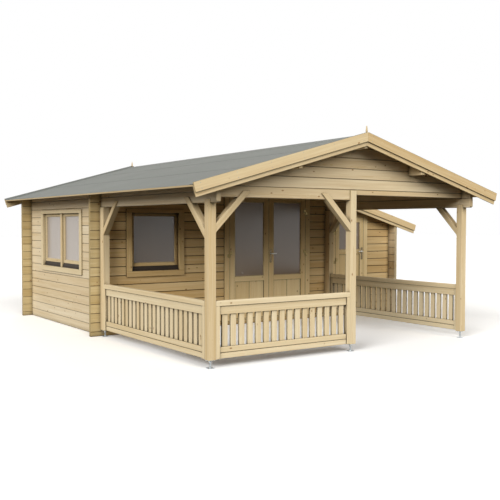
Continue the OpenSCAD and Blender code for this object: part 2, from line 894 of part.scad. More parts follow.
// Upper half of a hinge: a knuckle and a plate on the leaf
module leaf_hinges(top) {
    half = hinge_h / 2;
    for (z = hinge_feet(top)) translate([-leaf_gap / 2, -pin_out, z + half + seat])
        difference() {
            union() {
                cylinder(r = knuckle_r, h = half);
                translate([0, pin_out - hinge_plate_t - seat, 0])
                    cube([hinge_plate_w, hinge_plate_t, half]);
            }
            translate([0, 0, -cut]) cylinder(r = pin_r + pin_play, h = half + 2 * cut);
        }
}

// Lower half of a hinge: a knuckle with the pin and a plate on the architrave
module frame_hinges(top) {
    half = hinge_h / 2;
    for (z = hinge_feet(top)) translate([-leaf_gap / 2, -pin_out, z]) {
        cylinder(r = knuckle_r, h = half);
        cylinder(r = pin_r, h = hinge_h + 2 * seat);
        translate([-hinge_plate_w, pin_out - hinge_plate_t - seat, 0])
            cube([hinge_plate_w, hinge_plate_t, half]);
    }
}

// Lever on its plate, on both faces of a leaf, pointing to the hinge side
module lever_pair(width) {
    low = lever_z - handle_plate_h * plate_below;
    translate([width - lever_inset, leaf_t / 2, 0]) for (face = [0, 1]) mirror([0, face, 0])
        translate([0, -leaf_t / 2 - seat, 0]) {
            translate([-handle_plate_w / 2, -handle_plate_t, low])
                cube([handle_plate_w, handle_plate_t, handle_plate_h]);
            translate([0, 0, lever_z]) rotate([90, 0, 0])
                cylinder(r = lever_neck_r, h = lever_neck_l);
            translate([lever_neck_r - lever_l, -lever_neck_l - lever_t / 2,
                       lever_z - lever_h / 2])
                cube([lever_l, lever_t, lever_h]);
        }
}

module double_door_frame() {
    centred() color(pine_shade) translate([door_mid - door_half, y_face, 0])
        door_frame(2 * door_half, leaf_top + leaf_gap);
}

module left_leaf() {
    centred() color(pine) at_left_leaf()
        door_leaf(leaf_w, leaf_top, stile_w, [door_glass_z0, door_glass_z1], leaf_boards);
}

module left_leaf_glass() {
    centred() color("#59564f") at_left_leaf()
        leaf_glass(leaf_w, stile_w, [door_glass_z0, door_glass_z1]);
}

module left_leaf_ironmongery() {
    centred() color("#b9bcbd") at_left_leaf() leaf_hinges(leaf_top);
}

module right_leaf() {
    centred() color(pine) at_right_leaf()
        door_leaf(leaf_w, leaf_top, stile_w, [door_glass_z0, door_glass_z1], leaf_boards);
}

module right_leaf_glass() {
    centred() color("#59564f") at_right_leaf()
        leaf_glass(leaf_w, stile_w, [door_glass_z0, door_glass_z1]);
}

module right_leaf_ironmongery() {
    centred() color("#b9bcbd") at_right_leaf() {
        leaf_hinges(leaf_top);
        lever_pair(leaf_w);
    }
}

module store_door_frame() {
    centred() color(pine_shade) translate([store_door_x - leaf_gap, y_face, 0])
        door_frame(store_leaf_w + 2 * leaf_gap, store_leaf_top + leaf_gap);
}

module store_leaf() {
    centred() color(pine) at_store_leaf()
        door_leaf(store_leaf_w, store_leaf_top, store_stile_w,
                  [store_glass_z0, store_glass_z1], store_boards);
}

module store_leaf_glass() {
    centred() color("#59564f") at_store_leaf()
        leaf_glass(store_leaf_w, store_stile_w, [store_glass_z0, store_glass_z1]);
}

module store_leaf_ironmongery() {
    centred() color("#b9bcbd") at_store_leaf() {
        leaf_hinges(store_leaf_top);
        lever_pair(store_leaf_w);
    }
}

module hinge_pins() {
    centred() color("#b9bcbd") {
        at_left_leaf() frame_hinges(leaf_top);
        at_right_leaf() frame_hinges(leaf_top);
        at_store_leaf() frame_hinges(store_leaf_top);
    }
}

// Windows. A window's own place has x along the wall from its middle and -y outside.

// Middles of a window's sashes and the width of one
function sash_width(clear_w, count) = (clear_w - (count - 1) * mullion_w) / count;
function sash_mids(clear_w, count) =
    [for (i = [0 : count - 1]) (i - (count - 1) / 2) * (sash_width(clear_w, count) + mullion_w)];

// Board in the wall's plane between two corners
module wall_board(x0, x1, z0, z1, y, depth) {
    translate([x0, y, z0]) cube([x1 - x0, depth, z1 - z0]);
}

module window_frame(clear_w, count) {
    half = clear_w / 2;
    ft = window_frame_t;
    depth = half_log + window_frame_in;
    trim_y = -half_log - seat - trim_t;
    sash_wide = sash_width(clear_w, count) - 2 * fit;
    // Frame in the wall
    for (end = [0, 1]) mirror([end, 0, 0])
        wall_board(-half - ft, -half, window_z0 - ft, window_z1 + ft, -half_log, depth);
    wall_board(fit - half, half - fit, window_z0 - ft, window_z0 - seat, -half_log, depth);
    wall_board(fit - half, half - fit, window_z1, window_z1 + ft, -half_log, depth);
    // Trim on the wall's face
    for (end = [0, 1]) mirror([end, 0, 0])
        wall_board(-half - trim_w, -half, window_z0 + seat, window_z1 - seat, trim_y, trim_t);
    wall_board(-half - trim_w, half + trim_w, window_z1, window_z1 + head_trim_h, trim_y, trim_t);
    wall_board(-half - trim_w, half + trim_w, window_z0 - sill_trim_h, window_z0, trim_y,
               trim_t);
    // Mullions between the sashes
    if (count > 1)
        for (i = [1 : count - 1])
            translate([i * (sash_width(clear_w, count) + mullion_w) - half - mullion_w, 0, 0])
                wall_board(fit, mullion_w - fit, window_z0 + seat, window_z1 - seat,
                           -half_log, depth);
    // Sashes, each with a groove for its glass
    for (mid = sash_mids(clear_w, count)) translate([mid - sash_wide / 2, 0, 0])
        difference() {
            wall_board(0, sash_wide, sash_low, window_z1 - fit, 0, sash_t);
            wall_board(sash_w, sash_wide - sash_w, sash_low + sash_w, window_z1 - sash_w,
                       -cut, sash_t + 2 * cut);
            wall_board(sash_w - glass_edge - fit, sash_wide - sash_w + glass_edge + fit,
                       sash_low + sash_w - glass_edge - fit,
                       window_z1 - sash_w + glass_edge + fit,
                       (sash_t - glass_t) / 2 - fit, glass_t + 2 * fit);
        }
}

module window_panes(clear_w, count) {
    sash_wide = sash_width(clear_w, count) - 2 * fit;
    pane_half = sash_wide / 2 - sash_w + glass_edge;
    for (mid = sash_mids(clear_w, count)) translate([mid, 0, 0])
        wall_board(-pane_half, pane_half, sash_low + sash_w - glass_edge,
                   window_z1 - sash_w + glass_edge, (sash_t - glass_t) / 2, glass_t);
}

module window_bars(clear_w, count) {
    half = sash_width(clear_w, count) / 2 - fit;
    for (mid = sash_mids(clear_w, count)) translate([mid, 0, 0])
        wall_board(-half, half, window_z0, window_z0 + weather_bar_h, -weather_bar_out,
                   weather_bar_out + sash_t);
}

module at_front_window() {
    translate([front_window_x, y_front, 0]) children();
}

module front_window_frame() {
    centred() color(pine_shade) at_front_window() window_frame(front_window_w, 1);
}

module side_window_frame() {
    centred() color(pine) at_side_window() window_frame(side_window_w, 2);
}

module window_glass() {
    centred() color("#8d8b90") {
        at_front_window() window_panes(front_window_w, 1);
        at_side_window() window_panes(side_window_w, 2);
    }
}

module weather_bars() {
    centred() color("#3a322b") {
        at_front_window() window_bars(front_window_w, 1);
        at_side_window() window_bars(side_window_w, 2);
    }
}

left_wall();
dividing_wall();
store_side_wall();
rear_wall();
front_sill_log();
front_wall_left();
front_wall_middle();
store_front_wall();
front_wall_top();
front_gable();
left_wall_plate();
right_wall_plate();
posts();
post_feet();
braces();
front_railing();
left_railing();
right_railing();
purlins();
roof_left();
roof_right_veranda();
roof_right_cabin();
roof_felt();
front_barge_boards();
rear_barge_boards();
store_barge_boards();
finials();
floors();
double_door_frame();
left_leaf();
left_leaf_glass();
left_leaf_ironmongery();
right_leaf();
right_leaf_glass();
right_leaf_ironmongery();
store_door_frame();
store_leaf();
store_leaf_glass();
store_leaf_ironmongery();
hinge_pins();
front_window_frame();
side_window_frame();
window_glass();
weather_bars();
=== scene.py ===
"""Looks of the log cabin: timber, felt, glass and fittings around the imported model.

Metres, +Z up, the gable front faces -Y. Every board and log keeps its own fibre
direction, so grain, rings, knots and end grain run through the timber as they do in sawn wood.
"""
import math

import bmesh
import bpy
from mathutils import Matrix, Vector


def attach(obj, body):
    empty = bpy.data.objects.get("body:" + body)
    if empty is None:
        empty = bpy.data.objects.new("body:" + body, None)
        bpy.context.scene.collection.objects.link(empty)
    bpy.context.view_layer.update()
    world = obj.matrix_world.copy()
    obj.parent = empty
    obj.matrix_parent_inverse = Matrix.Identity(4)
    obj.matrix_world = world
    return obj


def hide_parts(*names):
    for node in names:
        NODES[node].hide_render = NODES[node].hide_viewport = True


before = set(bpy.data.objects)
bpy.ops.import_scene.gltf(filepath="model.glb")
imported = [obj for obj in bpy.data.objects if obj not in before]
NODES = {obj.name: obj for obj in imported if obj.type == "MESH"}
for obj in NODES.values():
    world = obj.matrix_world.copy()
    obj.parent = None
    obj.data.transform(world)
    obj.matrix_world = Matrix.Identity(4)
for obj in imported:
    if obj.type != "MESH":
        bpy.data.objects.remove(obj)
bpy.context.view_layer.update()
scene = bpy.context.scene

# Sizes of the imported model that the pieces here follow, in millimetres of its plan: x from the
# left corner post's centre line, y from the front posts' centre line, z from the ground
MID_X = 3061.0
MID_Y = 3225.0
FIT = 0.5
SEAT = 0.3
FRONT_W = 4420.0
X_STORE = 6020.0
Y_FRONT = 3160.0
Y_REAR = 6380.0
HALF_LOG = 29.0
POST_HALF = 50.0
WALL_POST_FACE = 3000.5
PITCH = math.radians(15.67)
RIDGE_X = FRONT_W / 2
RIDGE_Z = 2240 + RIDGE_X * math.tan(PITCH)
DECK_T = 20.0
FELT_N = DECK_T + SEAT
BARGE_N = 47.3
BARGE_T = 20.0
MAIN_REACH = 2622.0
STORE_REACH = 4324.0
Y_BARGE_FRONT = -280.0
Y_BARGE_STORE = 2954.0
Y_BARGE_REAR = 6730.0


# Small helpers

def srgb(code):
    """Linear colour of an sRGB hex value."""
    def linear(c):
        return c / 12.92 if c <= 0.04045 else ((c + 0.055) / 1.055) ** 2.4
    parts = [int(code[i:i + 2], 16) / 255 for i in (1, 3, 5)]
    return (*[linear(c) for c in parts], 1.0)


def add(tree, kind, links=None, **settings):
    """Adds a node with its settings, then sets or links its inputs by name or number."""
    node = tree.nodes.new(kind)
    for name, value in settings.items():
        setattr(node, name, value)
    for key, value in (links or {}).items():
        if isinstance(value, bpy.types.NodeSocket):
            tree.links.new(value, node.inputs[key])
        else:
            node.inputs[key].default_value = value
    return node


def new_material(name):
    """Empty material: its node tree and the output's surface socket."""
    material = bpy.data.materials.new(name)
    material.use_nodes = True
    tree = material.node_tree
    tree.nodes.clear()
    output = tree.nodes.new("ShaderNodeOutputMaterial")
    return material, tree, output.inputs["Surface"]


def per_mm(*sizes):
    """Pattern scale, in repeats a metre, for repeats of these sizes in millimetres."""
    return tuple(1000 / s for s in sizes)


# Camera: the photograph's place, turned from +Y towards +X and slightly down

CAMERA_AT = (-7.714, -10.873, 1.7106)
CAMERA_YAW = math.radians(34.317)
CAMERA_DOWN = math.radians(1.962)
CAMERA_ROLL = math.radians(0.095)
FOCAL_PX = 758.66
IMAGE_PX = 500
SENSOR_MM = 36.0


def make_camera():
    data = bpy.data.cameras.new("camera")
    data.sensor_width = SENSOR_MM
    data.lens = FOCAL_PX / IMAGE_PX * SENSOR_MM
    data.clip_end = 200
    camera = bpy.data.objects.new("camera", data)
    turn = Matrix.Rotation(-CAMERA_YAW, 4, "Z") @ Matrix.Rotation(math.pi / 2 - CAMERA_DOWN, 4, "X")
    camera.matrix_world = Matrix.Translation(CAMERA_AT) @ turn @ Matrix.Rotation(CAMERA_ROLL, 4, "Z")
    scene.collection.objects.link(camera)
    scene.camera = camera


make_camera()


# Fibre direction of each log and board, worked out by a modifier

def grain_group():
    """Modifier that gives each solid of a mesh its own timber coordinates.

    Stores for each point: grain, metres along the fibres, across and through, shifted by
    chance for each solid; fibre, the direction of the fibres; tone, a chance shade of the solid.
    """
    tree = bpy.data.node_groups.new("timber_grain", "GeometryNodeTree")
    face = tree.interface
    face.new_socket("Geometry", in_out="INPUT", socket_type="NodeSocketGeometry")
    face.new_socket("Fibre", in_out="INPUT", socket_type="NodeSocketVector")
    face.new_socket("Seed", in_out="INPUT", socket_type="NodeSocketInt")
    face.new_socket("Geometry", in_out="OUTPUT", socket_type="NodeSocketGeometry")
    start = add(tree, "NodeGroupInput").outputs
    bare = add(tree, "GeometryNodeRemoveAttribute",
               {"Geometry": start["Geometry"], "Name": "custom_normal"})
    weld = add(tree, "GeometryNodeMergeByDistance", {0: bare.outputs[0], "Distance": 2e-5})
    solid = add(tree, "GeometryNodeInputMeshIsland").outputs["Island Index"]
    place = add(tree, "GeometryNodeInputPosition").outputs[0]
    # The longest true edge of a solid gives its fibre direction
    ends = add(tree, "GeometryNodeInputMeshEdgeVertices").outputs
    run = add(tree, "ShaderNodeVectorMath", {0: ends["Position 2"], 1: ends["Position 1"]},
              operation="SUBTRACT").outputs["Vector"]
    bend = add(tree, "GeometryNodeInputMeshEdgeAngle").outputs["Unsigned Angle"]
    is_edge = add(tree, "ShaderNodeMath", {0: bend, 1: 0.02}, operation="GREATER_THAN").outputs[0]
    span = add(tree, "ShaderNodeVectorMath", {0: run}, operation="LENGTH").outputs["Value"]
    true_span = add(tree, "ShaderNodeMath", {0: span, 1: is_edge}, operation="MULTIPLY").outputs[0]
    longest = add(tree, "GeometryNodeFieldMinAndMax", {"Value": true_span, "Group Index": solid},
                  data_type="FLOAT", domain="EDGE").outputs["Max"]
    nearly = add(tree, "ShaderNodeMath", {0: longest, 1: 0.98}, operation="MULTIPLY").outputs[0]
    chosen = add(tree, "ShaderNodeMath", {0: true_span, 1: nearly},
                 operation="GREATER_THAN").outputs[0]
    # Edges run either way, so each is turned one way before they are added up
    facing = add(tree, "ShaderNodeVectorMath", {0: run, 1: (1.0, 0.8, 0.6)},
                 operation="DOT_PRODUCT").outputs["Value"]
    sign = add(tree, "ShaderNodeMath", {0: facing}, operation="SIGN").outputs[0]
    weight = add(tree, "ShaderNodeMath", {0: sign, 1: chosen}, operation="MULTIPLY").outputs[0]
    counted = add(tree, "ShaderNodeVectorMath", {0: run, "Scale": weight},
                  operation="SCALE").outputs["Vector"]
    total = add(tree, "GeometryNodeAccumulateField", {"Value": counted, "Group ID": solid},
                data_type="FLOAT_VECTOR", domain="EDGE").outputs["Total"]
    found = add(tree, "GeometryNodeFieldOnDomain", {0: total}, data_type="FLOAT_VECTOR",
                domain="EDGE").outputs[0]
    given = add(tree, "ShaderNodeVectorMath", {0: start["Fibre"]}, operation="LENGTH").outputs["Value"]
    is_given = add(tree, "FunctionNodeCompare", {0: given, 1: 0.5}, data_type="FLOAT",
                   operation="GREATER_THAN").outputs[0]
    picked = add(tree, "GeometryNodeSwitch",
                 {"Switch": is_given, "False": found, "True": start["Fibre"]}, input_type="VECTOR")
    along = add(tree, "ShaderNodeVectorMath", {0: picked.outputs[0]},
                operation="NORMALIZE").outputs["Vector"]
    # Two directions square to it
    rise = add(tree, "ShaderNodeSeparateXYZ", {0: along}).outputs["Z"]
    upright = add(tree, "ShaderNodeMath", {0: rise}, operation="ABSOLUTE").outputs[0]
    is_upright = add(tree, "FunctionNodeCompare", {0: upright, 1: 0.9}, data_type="FLOAT",
                     operation="GREATER_THAN").outputs[0]
    other = add(tree, "GeometryNodeSwitch",
                {"Switch": is_upright, "False": (0, 0, 1), "True": (0, 1, 0)}, input_type="VECTOR")
    side = add(tree, "ShaderNodeVectorMath", {0: along, 1: other.outputs[0]},
               operation="CROSS_PRODUCT").outputs["Vector"]
    across = add(tree, "ShaderNodeVectorMath", {0: side}, operation="NORMALIZE").outputs["Vector"]
    through = add(tree, "ShaderNodeVectorMath", {0: along, 1: across},
                  operation="CROSS_PRODUCT").outputs["Vector"]
    middle = add(tree, "GeometryNodeFieldAverage", {"Value": place, "Group Index": solid},
                 data_type="FLOAT_VECTOR", domain="POINT").outputs["Mean"]
    local = add(tree, "ShaderNodeVectorMath", {0: place, 1: middle},
                operation="SUBTRACT").outputs["Vector"]
    parts = [add(tree, "ShaderNodeVectorMath", {0: local, 1: axis},
                 operation="DOT_PRODUCT").outputs["Value"] for axis in (along, across, through)]
    grain = add(tree, "ShaderNodeCombineXYZ", dict(enumerate(parts))).outputs[0]
    # Each solid comes from another place in another tree
    chance = add(tree, "FunctionNodeRandomValue",
                 {"Min": (0, -0.07, -0.09), "Max": (40, 0.07, -0.03), "ID": solid,
                  "Seed": start["Seed"]}, data_type="FLOAT_VECTOR").outputs[0]
    shifted = add(tree, "ShaderNodeVectorMath", {0: grain, 1: chance}, operation="ADD").outputs["Vector"]
    other_seed = add(tree, "ShaderNodeMath", {0: start["Seed"], 1: 77.0}, operation="ADD").outputs[0]
    tone_node = add(tree, "FunctionNodeRandomValue", {"ID": solid, "Seed": other_seed},
                    data_type="FLOAT")
    tone = next(s for s in tone_node.outputs if s.enabled)
    made = weld.outputs[0]
    for name, kind, value in (("grain", "FLOAT_VECTOR", shifted), ("fibre", "FLOAT_VECTOR", along),
                              ("tone", "FLOAT", tone)):
        store = add(tree, "GeometryNodeStoreNamedAttribute",
                    {"Geometry": made, "Name": name, "Value": value}, data_type=kind, domain="POINT")
        made = store.outputs[0]
    add(tree, "NodeGroupOutput", {0: made})
    return tree


GRAIN = grain_group()
FIBRE_SOCKET = GRAIN.interface.items_tree["Fibre"].identifier
SEED_SOCKET = GRAIN.interface.items_tree["Seed"].identifier


def timber(piece, material, fibre=(0, 0, 0), edge_mm=0.0, packed=True):
    """Gives a mesh its material and timber coordinates, and rounds its edges."""
    piece.data.materials.clear()
    piece.data.materials.append(material)
    grain = piece.modifiers.new("grain", "NODES")
    grain.node_group = GRAIN
    grain[FIBRE_SOCKET] = fibre
    grain[SEED_SOCKET] = sum(ord(c) * (i + 1) for i, c in enumerate(piece.name))
    if edge_mm and packed:
        flat = piece.modifiers.new("flat_faces", "DECIMATE")
        flat.decimate_type = "DISSOLVE"
        flat.angle_limit = math.radians(1)
    if edge_mm:
        edge = piece.modifiers.new("edge", "BEVEL")
        edge.width = edge_mm / 1000
        edge.segments = 2
        edge.limit_method = "ANGLE"
        edge.angle_limit = math.radians(40)
    return piece


# Finishes

# Distance from the middle of the plan to the left wall's outer face, in metres
OPEN_X = (MID_X + HALF_LOG) / 1000
# Colour painted into joints and corners: painted shade, in the corners with some dust
SHADE_AND_DUST = "#362917"


def spruce(name, pale, dark, knot, joint=0.0, shut=0.25, shade_and_dust_share=0.8, paled=None):
    """Planed spruce: pale sapwood, darker late wood in rings, fine fibres and brown knots.

    Rings are drawn at about twice their real 4 mm, so that they show in the render. The slanted
    edges of a log lie in its joints and are painted darker by the share given for the joints: painted
    shade, half as strong on log ends in the open. Corners are painted dark, in full by the share
    given for them, where only the share shut of the surroundings is open: painted shade, with some dust.
    Log ends past the side walls stand in the open and take two colours of their own: greyer, and on
    the rear wall darker, which is painted shade; on sheltered logs they drop the painted shade.
    """
    ring_mm = 9.0
    rough = 0.62
    material, tree, surface = new_material(name)
    grain = add(tree, "ShaderNodeAttribute", attribute_name="grain").outputs["Vector"]
    tone = add(tree, "ShaderNodeAttribute", attribute_name="tone").outputs["Fac"]
    fibre = add(tree, "ShaderNodeAttribute", attribute_name="fibre").outputs["Vector"]
    # Knots: branches met by the saw, each up to about 25 mm wide, in six of ten places
    spot_at = add(tree, "ShaderNodeMapping", {"Vector": grain, "Scale": per_mm(190, 100, 100)})
    spot = add(tree, "ShaderNodeTexVoronoi", {"Vector": spot_at.outputs[0], "Scale": 1.0}).outputs
    here = add(tree, "ShaderNodeSeparateColor", {0: spot["Color"]}).outputs["Red"]
    some = add(tree, "ShaderNodeMath", {0: here, 1: 0.4}, operation="GREATER_THAN").outputs[0]
    core = add(tree, "ShaderNodeMapRange",
               {"Value": spot["Distance"], "From Min": 0.13, "From Max": 0.05, "To Max": 0.85},
               interpolation_type="SMOOTHSTEP").outputs[0]
    knots = add(tree, "ShaderNodeMath", {0: core, 1: some}, operation="MULTIPLY").outputs[0]
    swirl = add(tree, "ShaderNodeMapRange",
                {"Value": spot["Distance"], "From Min": 0.3, "From Max": 0.05, "To Max": 0.012},
                interpolation_type="SMOOTHSTEP").outputs[0]
    # Rings around the heart of the tree, wandering along the log and flowing round the knots
    drift_at = add(tree, "ShaderNodeMapping", {"Vector": grain, "Scale": per_mm(900, 160, 160)})
    drift = add(tree, "ShaderNodeTexNoise", {"Vector": drift_at.outputs[0], "Scale": 1.0, "Detail": 2.0})
    sway = add(tree, "ShaderNodeMapRange",
               {"Vector": drift.outputs["Color"], "To Min": (-0.03,) * 3, "To Max": (0.03,) * 3},
               data_type="FLOAT_VECTOR").outputs["Vector"]
    swayed = add(tree, "ShaderNodeVectorMath", {0: grain, 1: sway}, operation="ADD").outputs["Vector"]
    bowed = add(tree, "ShaderNodeVectorMath", {0: swayed, 1: swirl}, operation="ADD").outputs["Vector"]
    ring_period = 2 * math.pi / 20
    rings = add(tree, "ShaderNodeTexWave", {"Vector": bowed, "Scale": ring_period * 1000 / ring_mm,
                                            "Distortion": 0.6, "Detail": 2.0},
                wave_type="RINGS", rings_direction="X", wave_profile="SAW").outputs["Fac"]
    # Fibres, broad streaks and large patches of the treatment's colour
    fine_at = add(tree, "ShaderNodeMapping", {"Vector": grain, "Scale": per_mm(420, 7, 7)})
    fine = add(tree, "ShaderNodeTexNoise", {"Vector": fine_at.outputs[0], "Scale": 1.0, "Detail": 3.0,
                                            "Roughness": 0.6}).outputs["Fac"]
    broad_at = add(tree, "ShaderNodeMapping", {"Vector": grain, "Scale": per_mm(1300, 40, 40)})
    broad = add(tree, "ShaderNodeTexNoise", {"Vector": broad_at.outputs[0], "Scale": 1.0,
                                             "Detail": 2.0}).outputs["Fac"]
    level = None
    for value, share in ((rings, 0.3), (fine, 0.8), (broad, 0.85), (tone, 0.38)):
        level = add(tree, "ShaderNodeMath",
                    {0: value, 1: share, 2: level if level is not None else -0.7},
                    operation="MULTIPLY_ADD").outputs[0]
    tints = [srgb(pale), srgb(dark)]
    # Log ends past the side walls take their own greyer colours; on the rear wall they are darker, which is
    # painted shade
    if paled:
        place = add(tree, "ShaderNodeNewGeometry").outputs["Position"]
        sideways = add(tree, "ShaderNodeSeparateXYZ", {0: place}).outputs["X"]
        reach = add(tree, "ShaderNodeMath", {0: sideways}, operation="ABSOLUTE").outputs[0]
        in_open = add(tree, "ShaderNodeMapRange", {"Value": reach, "From Min": OPEN_X - 0.06,
                                                   "From Max": OPEN_X}).outputs[0]
        tints = [add(tree, "ShaderNodeMix", {0: in_open, 6: tint, 7: srgb(end_tint)},
                     data_type="RGBA").outputs[2] for tint, end_tint in zip(tints, paled)]
    wood = add(tree, "ShaderNodeMix", {0: level, 6: tints[0], 7: tints[1]}, data_type="RGBA")
    knotted = add(tree, "ShaderNodeMix", {0: knots, 6: wood.outputs[2], 7: srgb(knot)}, data_type="RGBA")
    # End grain drinks the treatment and is darker
    normal = add(tree, "ShaderNodeNewGeometry").outputs["Normal"]
    square = add(tree, "ShaderNodeVectorMath", {0: normal, 1: fibre},
                 operation="DOT_PRODUCT").outputs["Value"]
    facing = add(tree, "ShaderNodeMath", {0: square}, operation="ABSOLUTE").outputs[0]
    is_end = add(tree, "ShaderNodeMapRange", {"Value": facing, "From Min": 0.7, "From Max": 0.9,
                                              "To Max": 0.5}).outputs[0]
    colour = add(tree, "ShaderNodeMix", {0: is_end, 6: knotted.outputs[2], 7: srgb("#98825a")},
                 data_type="RGBA").outputs[2]
    # Slanted joint edges painted darker: painted shade in the V joints, halved on log ends in the open
    if joint:
        rise = add(tree, "ShaderNodeSeparateXYZ", {0: normal}).outputs["Z"]
        slant = add(tree, "ShaderNodeMath", {0: rise}, operation="ABSOLUTE").outputs[0]
        off = add(tree, "ShaderNodeMath", {0: slant, 1: 0.7071}, operation="SUBTRACT").outputs[0]
        away = add(tree, "ShaderNodeMath", {0: off}, operation="ABSOLUTE").outputs[0]
        painted_joint_shade = add(tree, "ShaderNodeMapRange", {"Value": away, "From Min": 0.25, "From Max": 0.1,
                                                "To Max": joint}).outputs[0]
        if paled:
            kept = add(tree, "ShaderNodeMath", {0: in_open, 1: -0.5, 2: 1.0},
                       operation="MULTIPLY_ADD").outputs[0]
            painted_joint_shade = add(tree, "ShaderNodeMath", {0: painted_joint_shade, 1: kept}, operation="MULTIPLY").outputs[0]
        colour = add(tree, "ShaderNodeMix", {0: painted_joint_shade, 6: colour, 7: srgb(SHADE_AND_DUST)},
                     data_type="RGBA").outputs[2]
    # Corners that see little of the surroundings are painted dark: painted shade, with some dust
    corner = add(tree, "ShaderNodeAmbientOcclusion", {"Distance": 0.08}, samples=6).outputs["AO"]
    shade_and_dust_mask = add(tree, "ShaderNodeMapRange", {"Value": corner, "From Min": 0.9, "From Max": shut,
                                             "To Max": shade_and_dust_share}).outputs[0]
    colour = add(tree, "ShaderNodeMix", {0: shade_and_dust_mask, 6: colour, 7: srgb(SHADE_AND_DUST)},
                 data_type="RGBA").outputs[2]
    shine = add(tree, "ShaderNodeMapRange", {"Value": fine, "To Min": rough - 0.08,
                                             "To Max": rough + 0.1}).outputs[0]
    relief = add(tree, "ShaderNodeMath", {0: rings, 1: 0.5, 2: fine}, operation="MULTIPLY_ADD").outputs[0]
    bump = add(tree, "ShaderNodeBump", {"Height": relief, "Strength": 0.25, "Distance": 0.0015})
    shader = add(tree, "ShaderNodeBsdfPrincipled",
                 {"Base Color": colour, "Roughness": shine, "Normal": bump.outputs[0],
                  "IOR": 1.5, "Specular IOR Level": 0.12})
    tree.links.new(shader.outputs[0], surface)
    return material


# Copies of one spruce for the walls, lighter or darker by how light falls on them: painted light and shade.
# The side and rear walls take the palest, the gable a little darker, and logs under the veranda's roof a
# darker, browner copy, which is painted shade.
WALL_LOGS = spruce("planed_spruce_logs", "#f2e5cb", "#d5bc91", "#94683c", joint=0.32)
REAR_LOGS = spruce("planed_spruce_rear_logs", "#f2e5cb", "#d5bc91", "#94683c", joint=0.45,
                   paled=("#dac99f", "#b79d69"))
GABLE_LOGS = spruce("planed_spruce_gable_logs", "#eddebf", "#ccb081", "#94683c", joint=0.44)
SHADE_PAINTED_LOGS = spruce("sheltered_spruce_logs", "#e6cc9c", "#bf985c", "#8a5c2e", joint=0.85,
                       paled=("#dac99f", "#b79d69"))
POSTS = spruce("planed_spruce_posts", "#ecdcba", "#ccb080", "#94683c")
RAILS = spruce("planed_spruce_rails", "#f3e5c6", "#d6bd8f", "#94683c", shut=0.6, shade_and_dust_share=0.95)
BARGE = spruce("planed_spruce_barge_boards", "#e8d6b0", "#c9aa78", "#94683c", shut=0.4, shade_and_dust_share=0.95)
JOINERY = spruce("planed_spruce_joinery", "#f2dcae", "#dbbb82", "#8a5c2e", shut=0.55, shade_and_dust_share=0.95)
# The front window under the veranda's roof takes a darker, browner copy of the joinery: painted shade
SHADE_PAINTED_JOINERY = spruce("sheltered_spruce_joinery", "#e3cb9b", "#bf9b62", "#8a5c2e",
                           shut=0.55, shade_and_dust_share=0.95)
PALE_JOINERY = spruce("paled_spruce_joinery", "#ecddbb", "#ceb486", "#94683c")
# Roof boards take a much darker copy of the wood, for the shade beneath the roof: painted shade
SHADE_PAINTED_ROOF_BOARDS = spruce("planed_spruce_roof_boards", "#bb9d6d", "#8e6b3a", "#6a421e")
FLOOR_BOARDS = spruce("planed_spruce_floor_boards", "#d9c096", "#b5925d", "#7d5228")


def mineral_felt():
    """Mineral felt: crushed slate in bitumen, matt grey-green with a coarse grit."""
    material, tree, surface = new_material("mineral_felt")
    place = add(tree, "ShaderNodeNewGeometry").outputs["Position"]
    # Grit of about 2 mm, drawn at 14 mm so that it shows
    grit_at = add(tree, "ShaderNodeMapping", {"Vector": place, "Scale": per_mm(14, 14, 14)})
    grit = add(tree, "ShaderNodeTexNoise", {"Vector": grit_at.outputs[0], "Scale": 1.0, "Detail": 4.0,
                                            "Roughness": 0.7}).outputs["Fac"]
    cloud_at = add(tree, "ShaderNodeMapping", {"Vector": place, "Scale": per_mm(900, 900, 900)})
    cloud = add(tree, "ShaderNodeTexNoise", {"Vector": cloud_at.outputs[0], "Scale": 1.0,
                                             "Detail": 3.0}).outputs["Fac"]
    level = add(tree, "ShaderNodeMath", {0: cloud, 1: 0.3, 2: -0.05}, operation="MULTIPLY_ADD").outputs[0]
    both = add(tree, "ShaderNodeMath", {0: grit, 1: 0.6, 2: level}, operation="MULTIPLY_ADD").outputs[0]
    colour = add(tree, "ShaderNodeMix", {0: both, 6: srgb("#686b69"), 7: srgb("#929694")},
                 data_type="RGBA")
    bump = add(tree, "ShaderNodeBump", {"Height": grit, "Strength": 0.4, "Distance": 0.002})
    shine = add(tree, "ShaderNodeMapRange", {"Value": grit, "To Min": 0.8, "To Max": 0.95}).outputs[0]
    shader = add(tree, "ShaderNodeBsdfPrincipled",
                 {"Base Color": colour.outputs[2], "Roughness": shine, "Normal": bump.outputs[0],
                  "Specular IOR Level": 0.25})
    tree.links.new(shader.outputs[0], surface)
    return material


def metal(name, colour, worn, rough, grain_mm):
    """Metal with a soft spangle or brush marks, in its colour and in its gloss."""
    material, tree, surface = new_material(name)
    place = add(tree, "ShaderNodeNewGeometry").outputs["Position"]
    mark_at = add(tree, "ShaderNodeMapping", {"Vector": place, "Scale": per_mm(*grain_mm)})
    mark = add(tree, "ShaderNodeTexNoise", {"Vector": mark_at.outputs[0], "Scale": 1.0,
                                            "Detail": 3.0}).outputs["Fac"]
    tint = add(tree, "ShaderNodeMix", {0: mark, 6: srgb(colour), 7: srgb(worn)}, data_type="RGBA")
    shine = add(tree, "ShaderNodeMapRange", {"Value": mark, "To Min": rough - 0.08,
                                             "To Max": rough + 0.12}).outputs[0]
    shader = add(tree, "ShaderNodeBsdfPrincipled",
                 {"Base Color": tint.outputs[2], "Roughness": shine, "Metallic": 1.0})
    tree.links.new(shader.outputs[0], surface)
    return material


FELT = mineral_felt()
